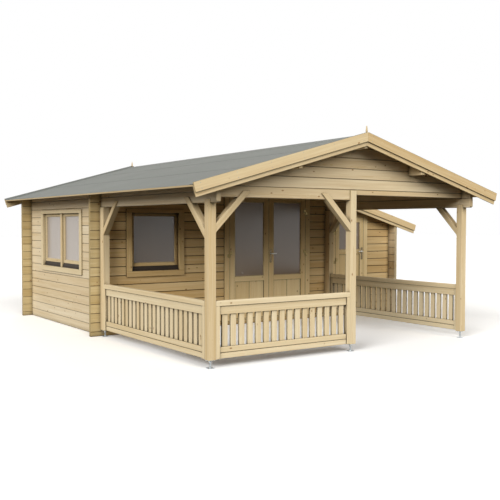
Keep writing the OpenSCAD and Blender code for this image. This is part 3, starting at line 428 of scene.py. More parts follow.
# Dull silver with a soft spangle, satin with fine upright lines, dull brown, and dull straw yellow
GALVANISED = metal("galvanised_steel", "#c9cdcf", "#a8adb0", 0.42, (12, 12, 12))
BRUSHED = metal("brushed_stainless_steel", "#dad8d2", "#b5b2aa", 0.34, (3, 3, 60))
BRONZED = metal("bronzed_steel", "#83765e", "#5c5241", 0.5, (8, 8, 8))
YELLOW_ZINC = metal("yellow_passivated_zinc", "#a08f64", "#887952", 0.62, (8, 8, 8))


def dark_bar():
    """Dark brown lacquer on a drip bar: low sheen with fine dust."""
    material, tree, surface = new_material("brown_lacquered_aluminium")
    place = add(tree, "ShaderNodeNewGeometry").outputs["Position"]
    dust_at = add(tree, "ShaderNodeMapping", {"Vector": place, "Scale": per_mm(60, 60, 25)})
    dust = add(tree, "ShaderNodeTexNoise", {"Vector": dust_at.outputs[0], "Scale": 1.0,
                                            "Detail": 4.0}).outputs["Fac"]
    tint = add(tree, "ShaderNodeMix", {0: dust, 6: srgb("#2a241e"), 7: srgb("#40372e")}, data_type="RGBA")
    shine = add(tree, "ShaderNodeMapRange", {"Value": dust, "To Min": 0.5, "To Max": 0.75}).outputs[0]
    shader = add(tree, "ShaderNodeBsdfPrincipled", {"Base Color": tint.outputs[2], "Roughness": shine,
                                                    "Specular IOR Level": 0.25})
    tree.links.new(shader.outputs[0], surface)
    return material


def glazing(name, painted_room, painted_room_pale, painted_sky=None):
    """Float glass over a dim room: the room's shade is painted into a dark body colour, which mirrors
    the surroundings softly.

    Panes that face sideways, out of the veranda, take a paler colour: a painted reflection of the open
    surroundings.
    """
    material, tree, surface = new_material(name)
    geometry = add(tree, "ShaderNodeNewGeometry").outputs
    haze_at = add(tree, "ShaderNodeMapping", {"Vector": geometry["Position"],
                                              "Scale": per_mm(500, 500, 700)})
    haze = add(tree, "ShaderNodeTexNoise", {"Vector": haze_at.outputs[0], "Scale": 1.0,
                                            "Detail": 3.0}).outputs["Fac"]
    tint = add(tree, "ShaderNodeMix", {0: haze, 6: srgb(painted_room), 7: srgb(painted_room_pale)}, data_type="RGBA").outputs[2]
    # Painted reflection: panes that face sideways take a paler colour by their normal
    if painted_sky:
        turn = add(tree, "ShaderNodeSeparateXYZ", {0: geometry["True Normal"]}).outputs["X"]
        sideways = add(tree, "ShaderNodeMath", {0: turn}, operation="ABSOLUTE").outputs[0]
        tint = add(tree, "ShaderNodeMix", {0: sideways, 6: tint, 7: srgb(painted_sky)}, data_type="RGBA").outputs[2]
    shine = add(tree, "ShaderNodeMapRange", {"Value": haze, "To Min": 0.22, "To Max": 0.3}).outputs[0]
    shader = add(tree, "ShaderNodeBsdfPrincipled",
                 {"Base Color": tint, "Roughness": shine, "IOR": 1.5, "Specular IOR Level": 1.0})
    tree.links.new(shader.outputs[0], surface)
    return material


BAR = dark_bar()
# The dark glass colours stand for the dim room behind the panes: painted shade
GLASS = glazing("float_glass", "#69553e", "#735f48")
WINDOW_GLASS = glazing("float_glass_windows", "#4e3e2c", "#584836", "#aea49c")


def coat(node, material):
    """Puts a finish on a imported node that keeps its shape."""
    slots = NODES[node].data.materials
    slots.clear()
    slots.append(material)


# Log walls: the fibres run along x in the cross walls and along y in the side walls
timber(NODES["rear_wall"], REAR_LOGS, (1, 0, 0))
timber(NODES["front_gable"], GABLE_LOGS, (1, 0, 0))
for name in ("front_sill_log", "front_wall_left", "front_wall_middle", "store_front_wall",
             "front_wall_top"):
    timber(NODES[name], SHADE_PAINTED_LOGS, (1, 0, 0))
for name in ("left_wall", "dividing_wall", "store_side_wall", "left_wall_plate", "right_wall_plate"):
    timber(NODES[name], WALL_LOGS, (0, 1, 0))
for name in ("posts", "braces", "purlins"):
    timber(NODES[name], POSTS, edge_mm=3)
for name in ("front_barge_boards", "rear_barge_boards", "store_barge_boards", "finials"):
    timber(NODES[name], BARGE, edge_mm=1.5)
for name in ("double_door_frame", "store_door_frame"):
    timber(NODES[name], JOINERY, edge_mm=1.5)
for name in ("left_leaf_glass", "right_leaf_glass", "store_leaf_glass"):
    coat(name, GLASS)
coat("window_glass", WINDOW_GLASS)


# Kit for the pieces that are drawn here

class Solids:
    """Solids gathered into one mesh, drawn in a place of their own and set into the plan."""

    def __init__(self, place=None):
        self.points = []
        self.faces = []
        self.place = place or (lambda p: p)

    def rings(self, rings, closed=False):
        """Skin over rings of points with equal counts, ends capped unless closed."""
        base = len(self.points)
        count = len(rings[0])
        for ring in rings:
            self.points += [self.place(p) for p in ring]
        pairs = len(rings) if closed else len(rings) - 1
        for r in range(pairs):
            a = base + r * count
            b = base + (r + 1) % len(rings) * count
            for i in range(count):
                j = (i + 1) % count
                self.faces.append((a + i, a + j, b + j, b + i))
        if not closed:
            last = base + (len(rings) - 1) * count
            self.faces.append(tuple(range(base + count - 1, base - 1, -1)))
            self.faces.append(tuple(range(last, last + count)))

    def prism(self, outline, low, high, along="x"):
        """Outline in the two other directions, drawn out from low to high."""
        def point(u, v, w):
            return {"x": (w, u, v), "y": (u, w, v), "z": (u, v, w)}[along]
        self.rings([[point(u, v, w) for u, v in outline] for w in (low, high)])

    def block(self, x0, x1, y0, y1, z0, z1):
        self.prism([(y0, z0), (y1, z0), (y1, z1), (y0, z1)], x0, x1)

    def turned(self, profile, at, axis="z", steps=24, closed=False):
        """Round solid: radius and height of each ring, around a line through a point."""
        rings = []
        for radius, height in profile:
            ring = []
            for i in range(steps):
                turn = 2 * math.pi * i / steps
                u, v, w = radius * math.cos(turn), radius * math.sin(turn), height
                u, v, w = {"z": (u, v, w), "y": (u, w, v)}[axis]
                ring.append((at[0] + u, at[1] + v, at[2] + w))
            rings.append(ring)
        self.rings(rings, closed)

    def make(self, name, body, slot, nodes=()):
        """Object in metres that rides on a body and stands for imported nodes."""
        mesh = bpy.data.meshes.new(name)
        mesh.from_pydata([((x - MID_X) / 1000, (y - MID_Y) / 1000, z / 1000)
                          for x, y, z in self.points], [], self.faces)
        skin = bmesh.new()
        skin.from_mesh(mesh)
        bmesh.ops.recalc_face_normals(skin, faces=skin.faces)
        skin.to_mesh(mesh)
        skin.free()
        piece = bpy.data.objects.new(name, mesh)
        scene.collection.objects.link(piece)
        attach(piece, body)
        if nodes:
            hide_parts(*nodes)
        return piece


def rounded(u0, u1, v0, v1, radius, steps=5):
    """Rectangle with round corners, as an outline."""
    outline = []
    for cu, cv, start in ((u1 - radius, v0 + radius, -90), (u1 - radius, v1 - radius, 0),
                          (u0 + radius, v1 - radius, 90), (u0 + radius, v0 + radius, 180)):
        for i in range(steps + 1):
            turn = math.radians(start + 90 * i / steps)
            outline.append((cu + radius * math.cos(turn), cv + radius * math.sin(turn)))
    return outline


# Railings: cap, uprights, rails and balusters, each a board of its own

RAIL_TOP = 800.0
CAP_H = 63.0
UPPER_H = 102.0
RAIL_LOW = 106.0
BOARD_H = 70.0
RAIL_BACK = 13.0
RAIL_REAR = 65.0
CAP_REAR = 75.0
STILE_W = 56.0
BALUSTER_W = 78.0
BALUSTER_T = 28.0
BALUSTER_PITCH = 120.0
BALUSTER_TENON = 10.0
JOINT_VEE = 7.0
EASED = 5.0


def railing(name, length, place):
    panel = Solids(place)
    cap_z = RAIL_TOP - CAP_H
    upper_z = cap_z - UPPER_H
    low_top = RAIL_LOW + 2 * BOARD_H
    x0 = FIT + STILE_W
    field = length - 2 * x0
    count = round((field + BALUSTER_W) / BALUSTER_PITCH) - 1
    gap = (field - count * BALUSTER_W) / (count + 1)
    panel.prism([(0, cap_z), (CAP_REAR, cap_z), (CAP_REAR, RAIL_TOP - EASED),
                 (CAP_REAR - EASED, RAIL_TOP), (EASED, RAIL_TOP), (0, RAIL_TOP - EASED)],
                FIT, length - FIT)
    for x in (FIT, length - x0):
        panel.block(x, x + STILE_W, 0, RAIL_REAR, RAIL_LOW, cap_z - SEAT)
    rail_x = (x0 + SEAT, length - x0 - SEAT)
    panel.block(*rail_x, RAIL_BACK, RAIL_REAR, upper_z, cap_z - SEAT)
    for z in (RAIL_LOW, RAIL_LOW + BOARD_H):
        top = z + BOARD_H - SEAT
        vee_low = JOINT_VEE if z > RAIL_LOW else EASED
        vee_top = JOINT_VEE if z == RAIL_LOW else EASED
        panel.prism([(RAIL_BACK, z + vee_low), (RAIL_BACK + vee_low, z), (RAIL_REAR - vee_low, z),
                     (RAIL_REAR, z + vee_low), (RAIL_REAR, top - vee_top), (RAIL_REAR - vee_top, top),
                     (RAIL_BACK + vee_top, top), (RAIL_BACK, top - vee_top)], *rail_x)
    y0 = (RAIL_BACK + RAIL_REAR - BALUSTER_T) / 2
    for i in range(count):
        x = x0 + gap + i * (BALUSTER_W + gap)
        panel.block(x, x + BALUSTER_W, y0, y0 + BALUSTER_T, low_top - BALUSTER_TENON,
                    upper_z + BALUSTER_TENON)
    piece = panel.make(name + "_boards", "cabin", "posts_and_rails", [name])
    timber(piece, RAILS, edge_mm=2.5, packed=False)


SIDE_RAIL_L = WALL_POST_FACE - POST_HALF
railing("front_railing", RIDGE_X - 2 * POST_HALF,
        lambda p: (POST_HALF + p[0], p[1] - POST_HALF, p[2]))
railing("left_railing", SIDE_RAIL_L,
        lambda p: (p[1] - POST_HALF, WALL_POST_FACE - p[0], p[2]))
railing("right_railing", SIDE_RAIL_L,
        lambda p: (FRONT_W + POST_HALF - p[1], POST_HALF + p[0], p[2]))


# Door leaves: stiles, rails, panel boards and glazing beads

LEAF_Z = 101.0
LEAF_T = 40.0
GLASS_T = 6.0
MID_RAIL_H = 82.0
BOTTOM_RAIL_H = 110.0
RAIL_INSET = 0.5
PANEL_RECESS = 11.0
PANEL_VEE = 6.5
PANEL_TENON = 5.0
BEAD = 11.0
BEAD_FACE = 4.0
BEAD_GAP = 0.2
# Shares of a bead's width that lie flat, and of its depth that stand upright at its nose
BEAD_FLAT = 0.55
BEAD_NOSE = 0.35
MITRE_GAP = 0.15
Y_FACE = 3110.7
LEVER_Z = 1195.0
PIN_X = -3.0
PIN_Y = -8.0
KNUCKLE_R = 6.5
# Easing of a knuckle's ends, in radius and in height
KNUCKLE_EASED = (0.6, 0.8)
PIN_R = 3.5
PIN_PLAY = 0.15
HINGE_H = 100.0
HINGE_IN = 220.0
HINGE_SCREW_X = (14.0, 30.0)
HINGE_SCREW_IN = 12.0
HINGE_SCREW_R = 3.2
HINGE_PLATE_W = 42.0
HINGE_PLATE_T = 3.0
HINGE_PLATE_GAP = 1.0
HINGE_PLATE_CORNER = 5.0


def vee_board(solids, x0, x1, y0, y1, z0, z1, vee):
    """Upright board whose long edges are chamfered, so that a joint shows as a groove."""
    solids.prism([(x0, y0 + vee), (x0 + vee, y0), (x1 - vee, y0), (x1, y0 + vee), (x1, y1 - vee),
                  (x1 - vee, y1), (x0 + vee, y1), (x0, y1 - vee)], z0, z1, "z")


def beads(solids, x0, x1, z0, z1, y_glass, y_face):
    """Four mitred glazing beads, from the glass to just behind a face."""
    corners = ((x0, z0), (x1, z0), (x1, z1), (x0, z1))
    for i in range(4):
        level = i % 2 == 0
        ends = []
        for u, w in (corners[i], corners[(i + 1) % 4]):
            to_u = 1 if u == x0 else -1
            to_w = 1 if w == z0 else -1
            u += to_u * MITRE_GAP if level else 0
            w += 0 if level else to_w * MITRE_GAP
            du = to_u * BEAD
            dw = to_w * BEAD
            ends.append([(u, y_glass, w), (u, y_face, w),
                         (u + du * BEAD_FLAT, y_face, w + dw * BEAD_FLAT),
                         (u + du, y_glass + (y_face - y_glass) * BEAD_NOSE, w + dw),
                         (u + du, y_glass, w + dw)])
        solids.rings(ends)


def door_leaf(name, width, top, stile, glass, boards, place):
    """Leaf with glass between two heights over a panel of upright boards."""
    leaf = Solids(place)
    inner = width - stile
    panel_z0 = LEAF_Z + BOTTOM_RAIL_H
    panel_z1 = glass[0] - MID_RAIL_H
    for x in (0, inner):
        leaf.block(x, x + stile, 0, LEAF_T, LEAF_Z, top)
    for z0, z1 in ((LEAF_Z, panel_z0), (panel_z1, glass[0]), (glass[1], top)):
        leaf.block(stile + SEAT, inner - SEAT, RAIL_INSET, LEAF_T - RAIL_INSET, z0, z1)
    step = (inner - stile) / boards
    for i in range(boards):
        vee_board(leaf, stile + i * step + SEAT, stile + (i + 1) * step - SEAT, PANEL_RECESS,
                  LEAF_T - PANEL_RECESS, panel_z0 - PANEL_TENON, panel_z1 + PANEL_TENON, PANEL_VEE)
    outer = (LEAF_T - GLASS_T) / 2
    for y_glass, y_face in ((outer - BEAD_GAP, BEAD_FACE),
                            (LEAF_T - outer + BEAD_GAP, LEAF_T - BEAD_FACE)):
        beads(leaf, stile, inner, *glass, y_glass, y_face)
    piece = leaf.make(name + "_boards", name, "joinery", [name])
    timber(piece, JOINERY, edge_mm=1.5, packed=False)


# Hinge sides of the leaves
LEFT_LEAF_X = 2282.0
RIGHT_LEAF_X = 3898.0
STORE_LEAF_X = 4620.0


def at_left_leaf(p):
    return (LEFT_LEAF_X + p[0], Y_FACE + p[1], p[2])


def at_right_leaf(p):
    return (RIGHT_LEAF_X - p[0], Y_FACE + p[1], p[2])


def at_store_leaf(p):
    return (STORE_LEAF_X + p[0], Y_FACE + p[1], p[2])


LEAF_W = 805.0
LEAF_TOP = 2190.0
LEAF_STILE = 100.0
LEAF_GLASS = (812.0, 2090.0)
STORE_LEAF_W = 690.0
STORE_LEAF_TOP = 1842.0
STORE_STILE = 88.0
STORE_GLASS = (1228.0, 1752.0)
door_leaf("left_leaf", LEAF_W, LEAF_TOP, LEAF_STILE, LEAF_GLASS, 2, at_left_leaf)
door_leaf("right_leaf", LEAF_W, LEAF_TOP, LEAF_STILE, LEAF_GLASS, 2, at_right_leaf)
door_leaf("store_leaf", STORE_LEAF_W, STORE_LEAF_TOP, STORE_STILE, STORE_GLASS, 3, at_store_leaf)


# Windows: frame, trim, mullion, sashes and beads

WINDOW_Z0 = 970.0
WINDOW_Z1 = 1885.0
WINDOW_FRAME_T = 30.0
WINDOW_IN = 49.0
SASH_W = 45.0
SASH_T = 44.0
MULLION_W = 70.0
BAR_H = 75.0
TRIM_W = 95.0
SILL_TRIM_H = 85.0
HEAD_TRIM_H = 55.0
TRIM_T = 22.0


def window_frame(name, clear_w, count, place, finish):
    """Window with a count of sashes side by side in a clear width."""
    frame_boards = Solids(place)
    block = frame_boards.block
    half = clear_w / 2
    low = WINDOW_Z0 - WINDOW_FRAME_T
    high = WINDOW_Z1 + WINDOW_FRAME_T
    for a, b in ((-half - WINDOW_FRAME_T, -half), (half, half + WINDOW_FRAME_T)):
        block(a, b, -HALF_LOG, WINDOW_IN, low, high)
    block(FIT - half, half - FIT, -HALF_LOG, WINDOW_IN, low, WINDOW_Z0 - SEAT)
    block(FIT - half, half - FIT, -HALF_LOG, WINDOW_IN, WINDOW_Z1, high)
    trim_y0 = -HALF_LOG - SEAT - TRIM_T
    trim_y1 = -HALF_LOG - SEAT
    for a, b in ((-half - TRIM_W, -half), (half, half + TRIM_W)):
        block(a, b, trim_y0, trim_y1, WINDOW_Z0 + SEAT, WINDOW_Z1 - SEAT)
    block(-half - TRIM_W, half + TRIM_W, trim_y0, trim_y1, WINDOW_Z1, WINDOW_Z1 + HEAD_TRIM_H)
    block(-half - TRIM_W, half + TRIM_W, trim_y0, trim_y1, WINDOW_Z0 - SILL_TRIM_H, WINDOW_Z0)
    sash_all = (clear_w - (count - 1) * MULLION_W) / count
    step = sash_all + MULLION_W
    for i in range(1, count):
        x = i * step - half - MULLION_W
        block(x + FIT, x + MULLION_W - FIT, -HALF_LOG, WINDOW_IN, WINDOW_Z0 + SEAT, WINDOW_Z1 - SEAT)
    sash_low = WINDOW_Z0 + BAR_H + SEAT
    sash_top = WINDOW_Z1 - FIT
    glass_y = (SASH_T - GLASS_T) / 2
    for i in range(count):
        x0 = i * step - half + FIT
        x1 = x0 + sash_all - 2 * FIT
        for a, b in ((x0, x0 + SASH_W), (x1 - SASH_W, x1)):
            block(a, b, 0, SASH_T, sash_low, sash_top)
        for z0, z1 in ((sash_low, sash_low + SASH_W), (sash_top - SASH_W + FIT, sash_top)):
            block(x0 + SASH_W + SEAT, x1 - SASH_W - SEAT, RAIL_INSET, SASH_T - RAIL_INSET, z0, z1)
        for y_glass, y_face in ((glass_y - BEAD_GAP, BEAD_FACE),
                                (SASH_T - glass_y + BEAD_GAP, SASH_T - BEAD_FACE)):
            beads(frame_boards, x0 + SASH_W, x1 - SASH_W, sash_low + SASH_W, sash_top - SASH_W + FIT,
                  y_glass, y_face)
    piece = frame_boards.make(name + "_boards", "cabin", "joinery", [name])
    timber(piece, finish, edge_mm=1.5, packed=False)


FRONT_WINDOW_X = 892.0
FRONT_WINDOW_W = 830.0
SIDE_WINDOW_Y = Y_FRONT + 1670
SIDE_WINDOW_W = 1710.0


def at_front_window(p):
    return (FRONT_WINDOW_X + p[0], Y_FRONT + p[1], p[2])


def at_side_window(p):
    return (p[1], SIDE_WINDOW_Y - p[0], p[2])


window_frame("front_window_frame", FRONT_WINDOW_W, 1, at_front_window, SHADE_PAINTED_JOINERY)
window_frame("side_window_frame", SIDE_WINDOW_W, 2, at_side_window, PALE_JOINERY)


# Weather bars: y from the sash's outer face and z above the foot of a bar with a sloped top, a drip
# nose and a groove under it

BAR_SECTION = ((SASH_T, 1), (SASH_T, BAR_H - 1), (4, BAR_H - 1), (0, BAR_H - 6), (-3, BAR_H - 20),
               (-12, BAR_H - 30), (-12, 26), (-8, 22), (-8, 14), (-12, 10), (-12, 1), (-7, 1), (-4, 5),
               (-1, 1))


def weather_bars():
    bars = Solids()
    profile = [(y, WINDOW_Z0 + z) for y, z in BAR_SECTION]
    for place, clear_w, count in ((at_front_window, FRONT_WINDOW_W, 1),
                                  (at_side_window, SIDE_WINDOW_W, 2)):
        bars.place = place
        wide = (clear_w - (count - 1) * MULLION_W) / count
        for i in range(count):
            x = i * (wide + MULLION_W) - clear_w / 2
            bars.prism(profile, x + FIT, x + wide - FIT)
    piece = bars.make("weather_bar_profiles", "cabin", "weather_bars", ["weather_bars"])
    piece.data.materials.append(BAR)


weather_bars()


# Roof: boards down the slope with grooved joints below, felt in lapped strips, flashing

def eave_s(reach):
    """Distance down the slope to the eaves that reach that far from the ridge."""
    return (reach - BARGE_N * math.sin(PITCH)) / math.cos(PITCH)


def ridge_s(n, away=0.25):
    """Distance down the slope of the ridge's upright cut, at a height above the boards' underside."""
    return (away - n * math.sin(PITCH)) / math.cos(PITCH)


def on_slope(side):
    """Place for s down the slope, y, and n above the boards' underside."""
    def place(p):
        s, y, n = p
        return (RIDGE_X + side * (s * math.cos(PITCH) + n * math.sin(PITCH)), y,
                RIDGE_Z - s * math.sin(PITCH) + n * math.cos(PITCH))
    return place


ROOFS = (("roof_left", -1, MAIN_REACH, Y_BARGE_FRONT + FIT, Y_BARGE_REAR - FIT),
         ("roof_right_veranda", 1, MAIN_REACH, Y_BARGE_FRONT + FIT, Y_BARGE_STORE),
         ("roof_right_cabin", 1, STORE_REACH, Y_BARGE_STORE + FIT, Y_BARGE_REAR - FIT))
ROOF_BOARD_W = 96.0
ROOF_VEE = 5.0
BATTEN_T = 12.0


def roof_boards(name, side, reach, y0, y1):
    boards = Solids(on_slope(side))
    count = round((y1 - y0) / ROOF_BOARD_W)
    step = (y1 - y0) / count
    low = eave_s(reach) - BATTEN_T - SEAT
    for i in range(count):
        a = y0 + i * step
        b = a + step - SEAT
        section = [(a + ROOF_VEE, 0), (b - ROOF_VEE, 0), (b, ROOF_VEE), (b, DECK_T), (a, DECK_T),
                   (a, ROOF_VEE)]
        boards.rings([[(ridge_s(n), y, n) for y, n in section], [(low, y, n) for y, n in section]])
    piece = boards.make(name + "_boards", "cabin", "roof_boards", [name])
    timber(piece, SHADE_PAINTED_ROOF_BOARDS, packed=False)


def eaves_battens():
    """Planed battens that close the ends of the boards along the eaves."""
    battens = Solids()
    for _, side, reach, y0, y1 in ROOFS:
        battens.place = on_slope(side)
        low = eave_s(reach)
        battens.prism([(low - BATTEN_T, 0), (low, 0), (low, DECK_T), (low - BATTEN_T, DECK_T)],
                      y0, y1, "y")
    piece = battens.make("eaves_battens", "cabin", "roof_boards")
    timber(piece, POSTS, edge_mm=1.0, packed=False)


for roof in ROOFS:
    roof_boards(*roof)
eaves_battens()

FELT_SHEET = 2.0
STRIP_H = 903.0
STRIP_LAP = 80.0
STRIP_START = 40.0
LAP_GAP = 0.3
RIDGE_STRIP = 260.0
RIDGE_GAP = 0.4
# A rest narrower than this share of a strip joins the last strip
REST_SHARE = 0.05
FLASHING_W = 90.0
FLASHING_T = 2.0
FLASHING_LIFT = 1.0
FLASHING_TOP = 0.4
# The upright of the flashing, measured inwards from the seam of the two barge boards
UPRIGHT_NEAR = 2.7
UPRIGHT_FAR = 5.0
FLASHING_BACK = 1.0
FLASHING_RIDGE = 14.0
FLASHING_EAVE = 6.0
# Side, reach, back of the barge boards and the way out, for each run of flashing
FLASHINGS = ((-1, MAIN_REACH, Y_BARGE_FRONT, -1), (1, MAIN_REACH, Y_BARGE_FRONT, -1),
             (-1, MAIN_REACH, Y_BARGE_REAR, 1), (1, STORE_REACH, Y_BARGE_REAR, 1))


def roof_felt():
    """Strips along the eaves, each lapping the one below it, and a strip folded over the ridge."""
    felt = Solids()
    for _, side, reach, y0, y1 in ROOFS:
        felt.place = on_slope(side)
        low = eave_s(reach)
        edges = [min((i + 1) * STRIP_H, low) for i in range(math.ceil(low / STRIP_H - REST_SHARE))]
        edges[-1] = low
        for i, edge in enumerate(edges):
            up = edges[i - 1] - STRIP_LAP if i else STRIP_START
            lift = FELT_SHEET + LAP_GAP if i < len(edges) - 1 else 0.0
            felt.prism([(up, FELT_N), (edge, FELT_N + lift), (edge, FELT_N + lift + FELT_SHEET),
                        (up, FELT_N + FELT_SHEET)], y0, y1, "y")
        base = FELT_N + FELT_SHEET + RIDGE_GAP
        top = base + FELT_SHEET
        felt.prism([(ridge_s(base), base), (RIDGE_STRIP, base), (RIDGE_STRIP, top), (ridge_s(top), top)],
                   y0, y1, "y")
    # Flashing: felt dressed across the channel beside each barge board and over its top
    for side, reach, y_back, out in FLASHINGS:
        felt.place = on_slope(side)
        n0 = FELT_N + 2 * FELT_SHEET + FLASHING_LIFT
        n1 = BARGE_N + FLASHING_TOP
        seam = y_back + out * BARGE_T
        inner = y_back - out * FLASHING_W
        near = seam - out * UPRIGHT_NEAR
        far = seam - out * UPRIGHT_FAR
        outer = seam + out * (BARGE_T - FLASHING_BACK)
        section = [(inner, n0), (near, n0), (near, n1), (outer, n1), (outer, n1 + FLASHING_T),
                   (far, n1 + FLASHING_T), (far, n0 + FLASHING_T), (inner, n0 + FLASHING_T)]
        end = eave_s(reach) - FLASHING_EAVE
        felt.rings([[(ridge_s(n, FLASHING_RIDGE), y, n) for y, n in section],
                    [(end, y, n) for y, n in section]])
    piece = felt.make("roof_felt_strips", "cabin", "mineral_felt", ["roof_felt"])
    piece.data.materials.append(FELT)


roof_felt()


# Floors: boards along y on bearers along x

FLOOR_BOARD_W = 114.0
BEARER = 45.0
BEARER_STEP = 620.0
FLOOR_T = 20.0
FLOOR_EASED = 1.5


def floor_boards():
    floor = Solids()
    y0 = Y_FRONT + HALF_LOG + FIT
    y1 = Y_REAR - HALF_LOG - FIT
    z0 = BEARER + SEAT
    top = z0 + FLOOR_T
    bearers = math.ceil((y1 - y0) / BEARER_STEP)
    for left, right in ((0.0, FRONT_W), (FRONT_W, X_STORE)):
        x0 = left + HALF_LOG + FIT
        x1 = right - HALF_LOG - FIT
        count = round((x1 - x0) / FLOOR_BOARD_W)
        step = (x1 - x0) / count
        for i in range(count):
            a = x0 + i * step
            b = a + step - SEAT
            floor.prism([(a, z0), (b, z0), (b, top - FLOOR_EASED), (b - FLOOR_EASED, top),
                         (a + FLOOR_EASED, top), (a, top - FLOOR_EASED)], y0, y1, "y")
        for i in range(bearers + 1):
            y = y0 + i * (y1 - y0 - BEARER) / bearers
            floor.block(x0, x1, y, y + BEARER, 0, BEARER)
    piece = floor.make("floor_boards_and_bearers", "cabin", "floor_boards", ["floors"])
    timber(piece, FLOOR_BOARDS, packed=False)


floor_boards()


# Ironmongery

# Edges that turn by more than this stay sharp, in degrees
SHARP_TURN = 35
# Share of the radius and height of each ring of a countersunk head with a round recess
SCREW_HEAD = ((1.0, 0.0), (1.0, 0.5), (0.9, 0.8), (0.45, 0.8), (0.38, -0.6))
SCREW_STEPS = 14


def fitting(solids, name, body, slot, finish, nodes=()):
    """Metal piece with smooth shading over its round parts and its sharp edges kept."""
    piece = solids.make(name, body, slot, nodes)
    piece.data.materials.append(finish)
    for face in piece.data.polygons:
        face.use_smooth = True
    piece.data.set_sharp_from_angle(angle=math.radians(SHARP_TURN))


def screw(solids, at, out, radius):
    """Screw head just proud of a face across y, on the side that out gives."""
    solids.turned([(radius * share, out * height) for share, height in SCREW_HEAD], at, "y", SCREW_STEPS)


def hinge_feet(top):
    """Heights of the lower ends of a leaf's three hinges."""
    return (LEAF_Z + HINGE_IN, (LEAF_Z + top) / 2, top - HINGE_IN - HINGE_H)


def hinge_half(solids, z, up):
    """Knuckle and screwed plate: the upper half is on the leaf, the lower one on the frame."""
    half = HINGE_H / 2
    low = z + half + SEAT if up else z
    high = low + half
    ease_r, ease = KNUCKLE_EASED
    slim = KNUCKLE_R - ease_r
    barrel = [(slim, low), (KNUCKLE_R, low + ease), (KNUCKLE_R, high - ease), (slim, high)]
    if up:
        bore = PIN_R + PIN_PLAY
        solids.turned([(bore, low)] + barrel + [(bore, high)], (PIN_X, PIN_Y, 0), closed=True)
        plate = (PIN_X + HINGE_PLATE_GAP, PIN_X + HINGE_PLATE_W)
    else:
        pin_top = z + HINGE_H + 2 * SEAT
        pin = [(PIN_R, high), (PIN_R, pin_top - ease), (PIN_R - ease, pin_top)]
        solids.turned(barrel + pin, (PIN_X, PIN_Y, 0))
        plate = (PIN_X - HINGE_PLATE_W, PIN_X - HINGE_PLATE_GAP)
    y1 = -SEAT
    y0 = y1 - HINGE_PLATE_T
    solids.prism(rounded(*plate, low + FIT, high - FIT, HINGE_PLATE_CORNER), y0, y1, "y")
    for dz in (HINGE_SCREW_IN, half - HINGE_SCREW_IN):
        for dx in HINGE_SCREW_X:
            x = PIN_X + dx if up else PIN_X - dx
            screw(solids, (x, y0, low + dz), -1, HINGE_SCREW_R)


# Handles: the plate's size and place, and the lever's rings as distance along x from the spindle,
# distance from the leaf, radius, and height as a share of that radius

BACKSET = 38.0
HANDLE_PLATE_H = 228.0
HANDLE_PLATE_W = 40.0
HANDLE_PLATE_T = 4.0
HANDLE_PLATE_CORNER = 10.0
PLATE_BELOW_LEVER = 0.68 * HANDLE_PLATE_H
PLATE_SCREW_IN = 14.0
PLATE_SCREW_R = 3.5
KEYHOLE_Z = 62.0
KEYHOLE = ((8.5, 0.0), (8.5, 0.8), (6.0, 1.2), (5.2, 0.2))
LEVER_NECK = ((14, 0), (14, 4), (12, 6), (9, 7), (8, 32))
LEVER_RINGS = ((8, 33, 5.5, 1.0), (4, 36, 7.5, 1.1), (-6, 39, 6.8, 1.2), (-24, 40, 5.8, 1.35),
               (-60, 40, 5.4, 1.45), (-92, 39, 5.2, 1.45), (-103, 37, 4.6, 1.3), (-106, 34, 2.8, 1.2))
LEVER_STEPS = 14
ROSE_STEPS = 20


def lever_set(plates, levers, width):
    """Long plate with a keyhole and a bent lever on both faces of a leaf."""
    spindle = width - BACKSET
    low = LEVER_Z - PLATE_BELOW_LEVER
    high = low + HANDLE_PLATE_H
    half = HANDLE_PLATE_W / 2
    for out, skin in ((-1, -SEAT), (1, LEAF_T + SEAT)):
        y_plate = skin + out * HANDLE_PLATE_T
        plates.prism(rounded(spindle - half, spindle + half, low, high, HANDLE_PLATE_CORNER),
                     min(skin, y_plate), max(skin, y_plate), "y")
        for z in (low + PLATE_SCREW_IN, high - PLATE_SCREW_IN):
            screw(plates, (spindle, y_plate, z), out, PLATE_SCREW_R)
        plates.turned([(r, out * h) for r, h in KEYHOLE], (spindle, y_plate, low + KEYHOLE_Z), "y",
                      ROSE_STEPS)
        levers.turned([(r, out * h) for r, h in LEVER_NECK], (spindle, y_plate, LEVER_Z), "y",
                      ROSE_STEPS)
        bar = []
        for dx, depth, radius, tall in LEVER_RINGS:
            turns = [2 * math.pi * i / LEVER_STEPS for i in range(LEVER_STEPS)]
            bar.append([(spindle + dx, skin + out * (depth + radius * math.cos(turn)),
                         LEVER_Z + radius * tall * math.sin(turn)) for turn in turns])
        levers.rings(bar)


def door_fittings():
    frame_side = Solids()
    for name, place, top, width, has_lever in (
            ("left_leaf", at_left_leaf, LEAF_TOP, LEAF_W, False),
            ("right_leaf", at_right_leaf, LEAF_TOP, LEAF_W, True),
            ("store_leaf", at_store_leaf, STORE_LEAF_TOP, STORE_LEAF_W, True)):
        hinges = Solids(place)
        frame_side.place = place
        for z in hinge_feet(top):
            hinge_half(hinges, z, True)
            hinge_half(frame_side, z, False)
        if has_lever:
            plates = Solids(place)
            levers = Solids(place)
            lever_set(plates, levers, width)
            fitting(plates, name + "_handle_plates", name, "ironmongery", BRONZED)
            fitting(levers, name + "_levers", name, "ironmongery", BRUSHED)
        fitting(hinges, name + "_hinges", name, "ironmongery", YELLOW_ZINC, [name + "_ironmongery"])
    fitting(frame_side, "frame_hinges", "cabin", "ironmongery", YELLOW_ZINC, ["hinge_pins"])


door_fittings()


# Feet: two plates with six-sided bolt heads, a threaded rod and two nuts. Heads and nuts are rings of
# radius and height.

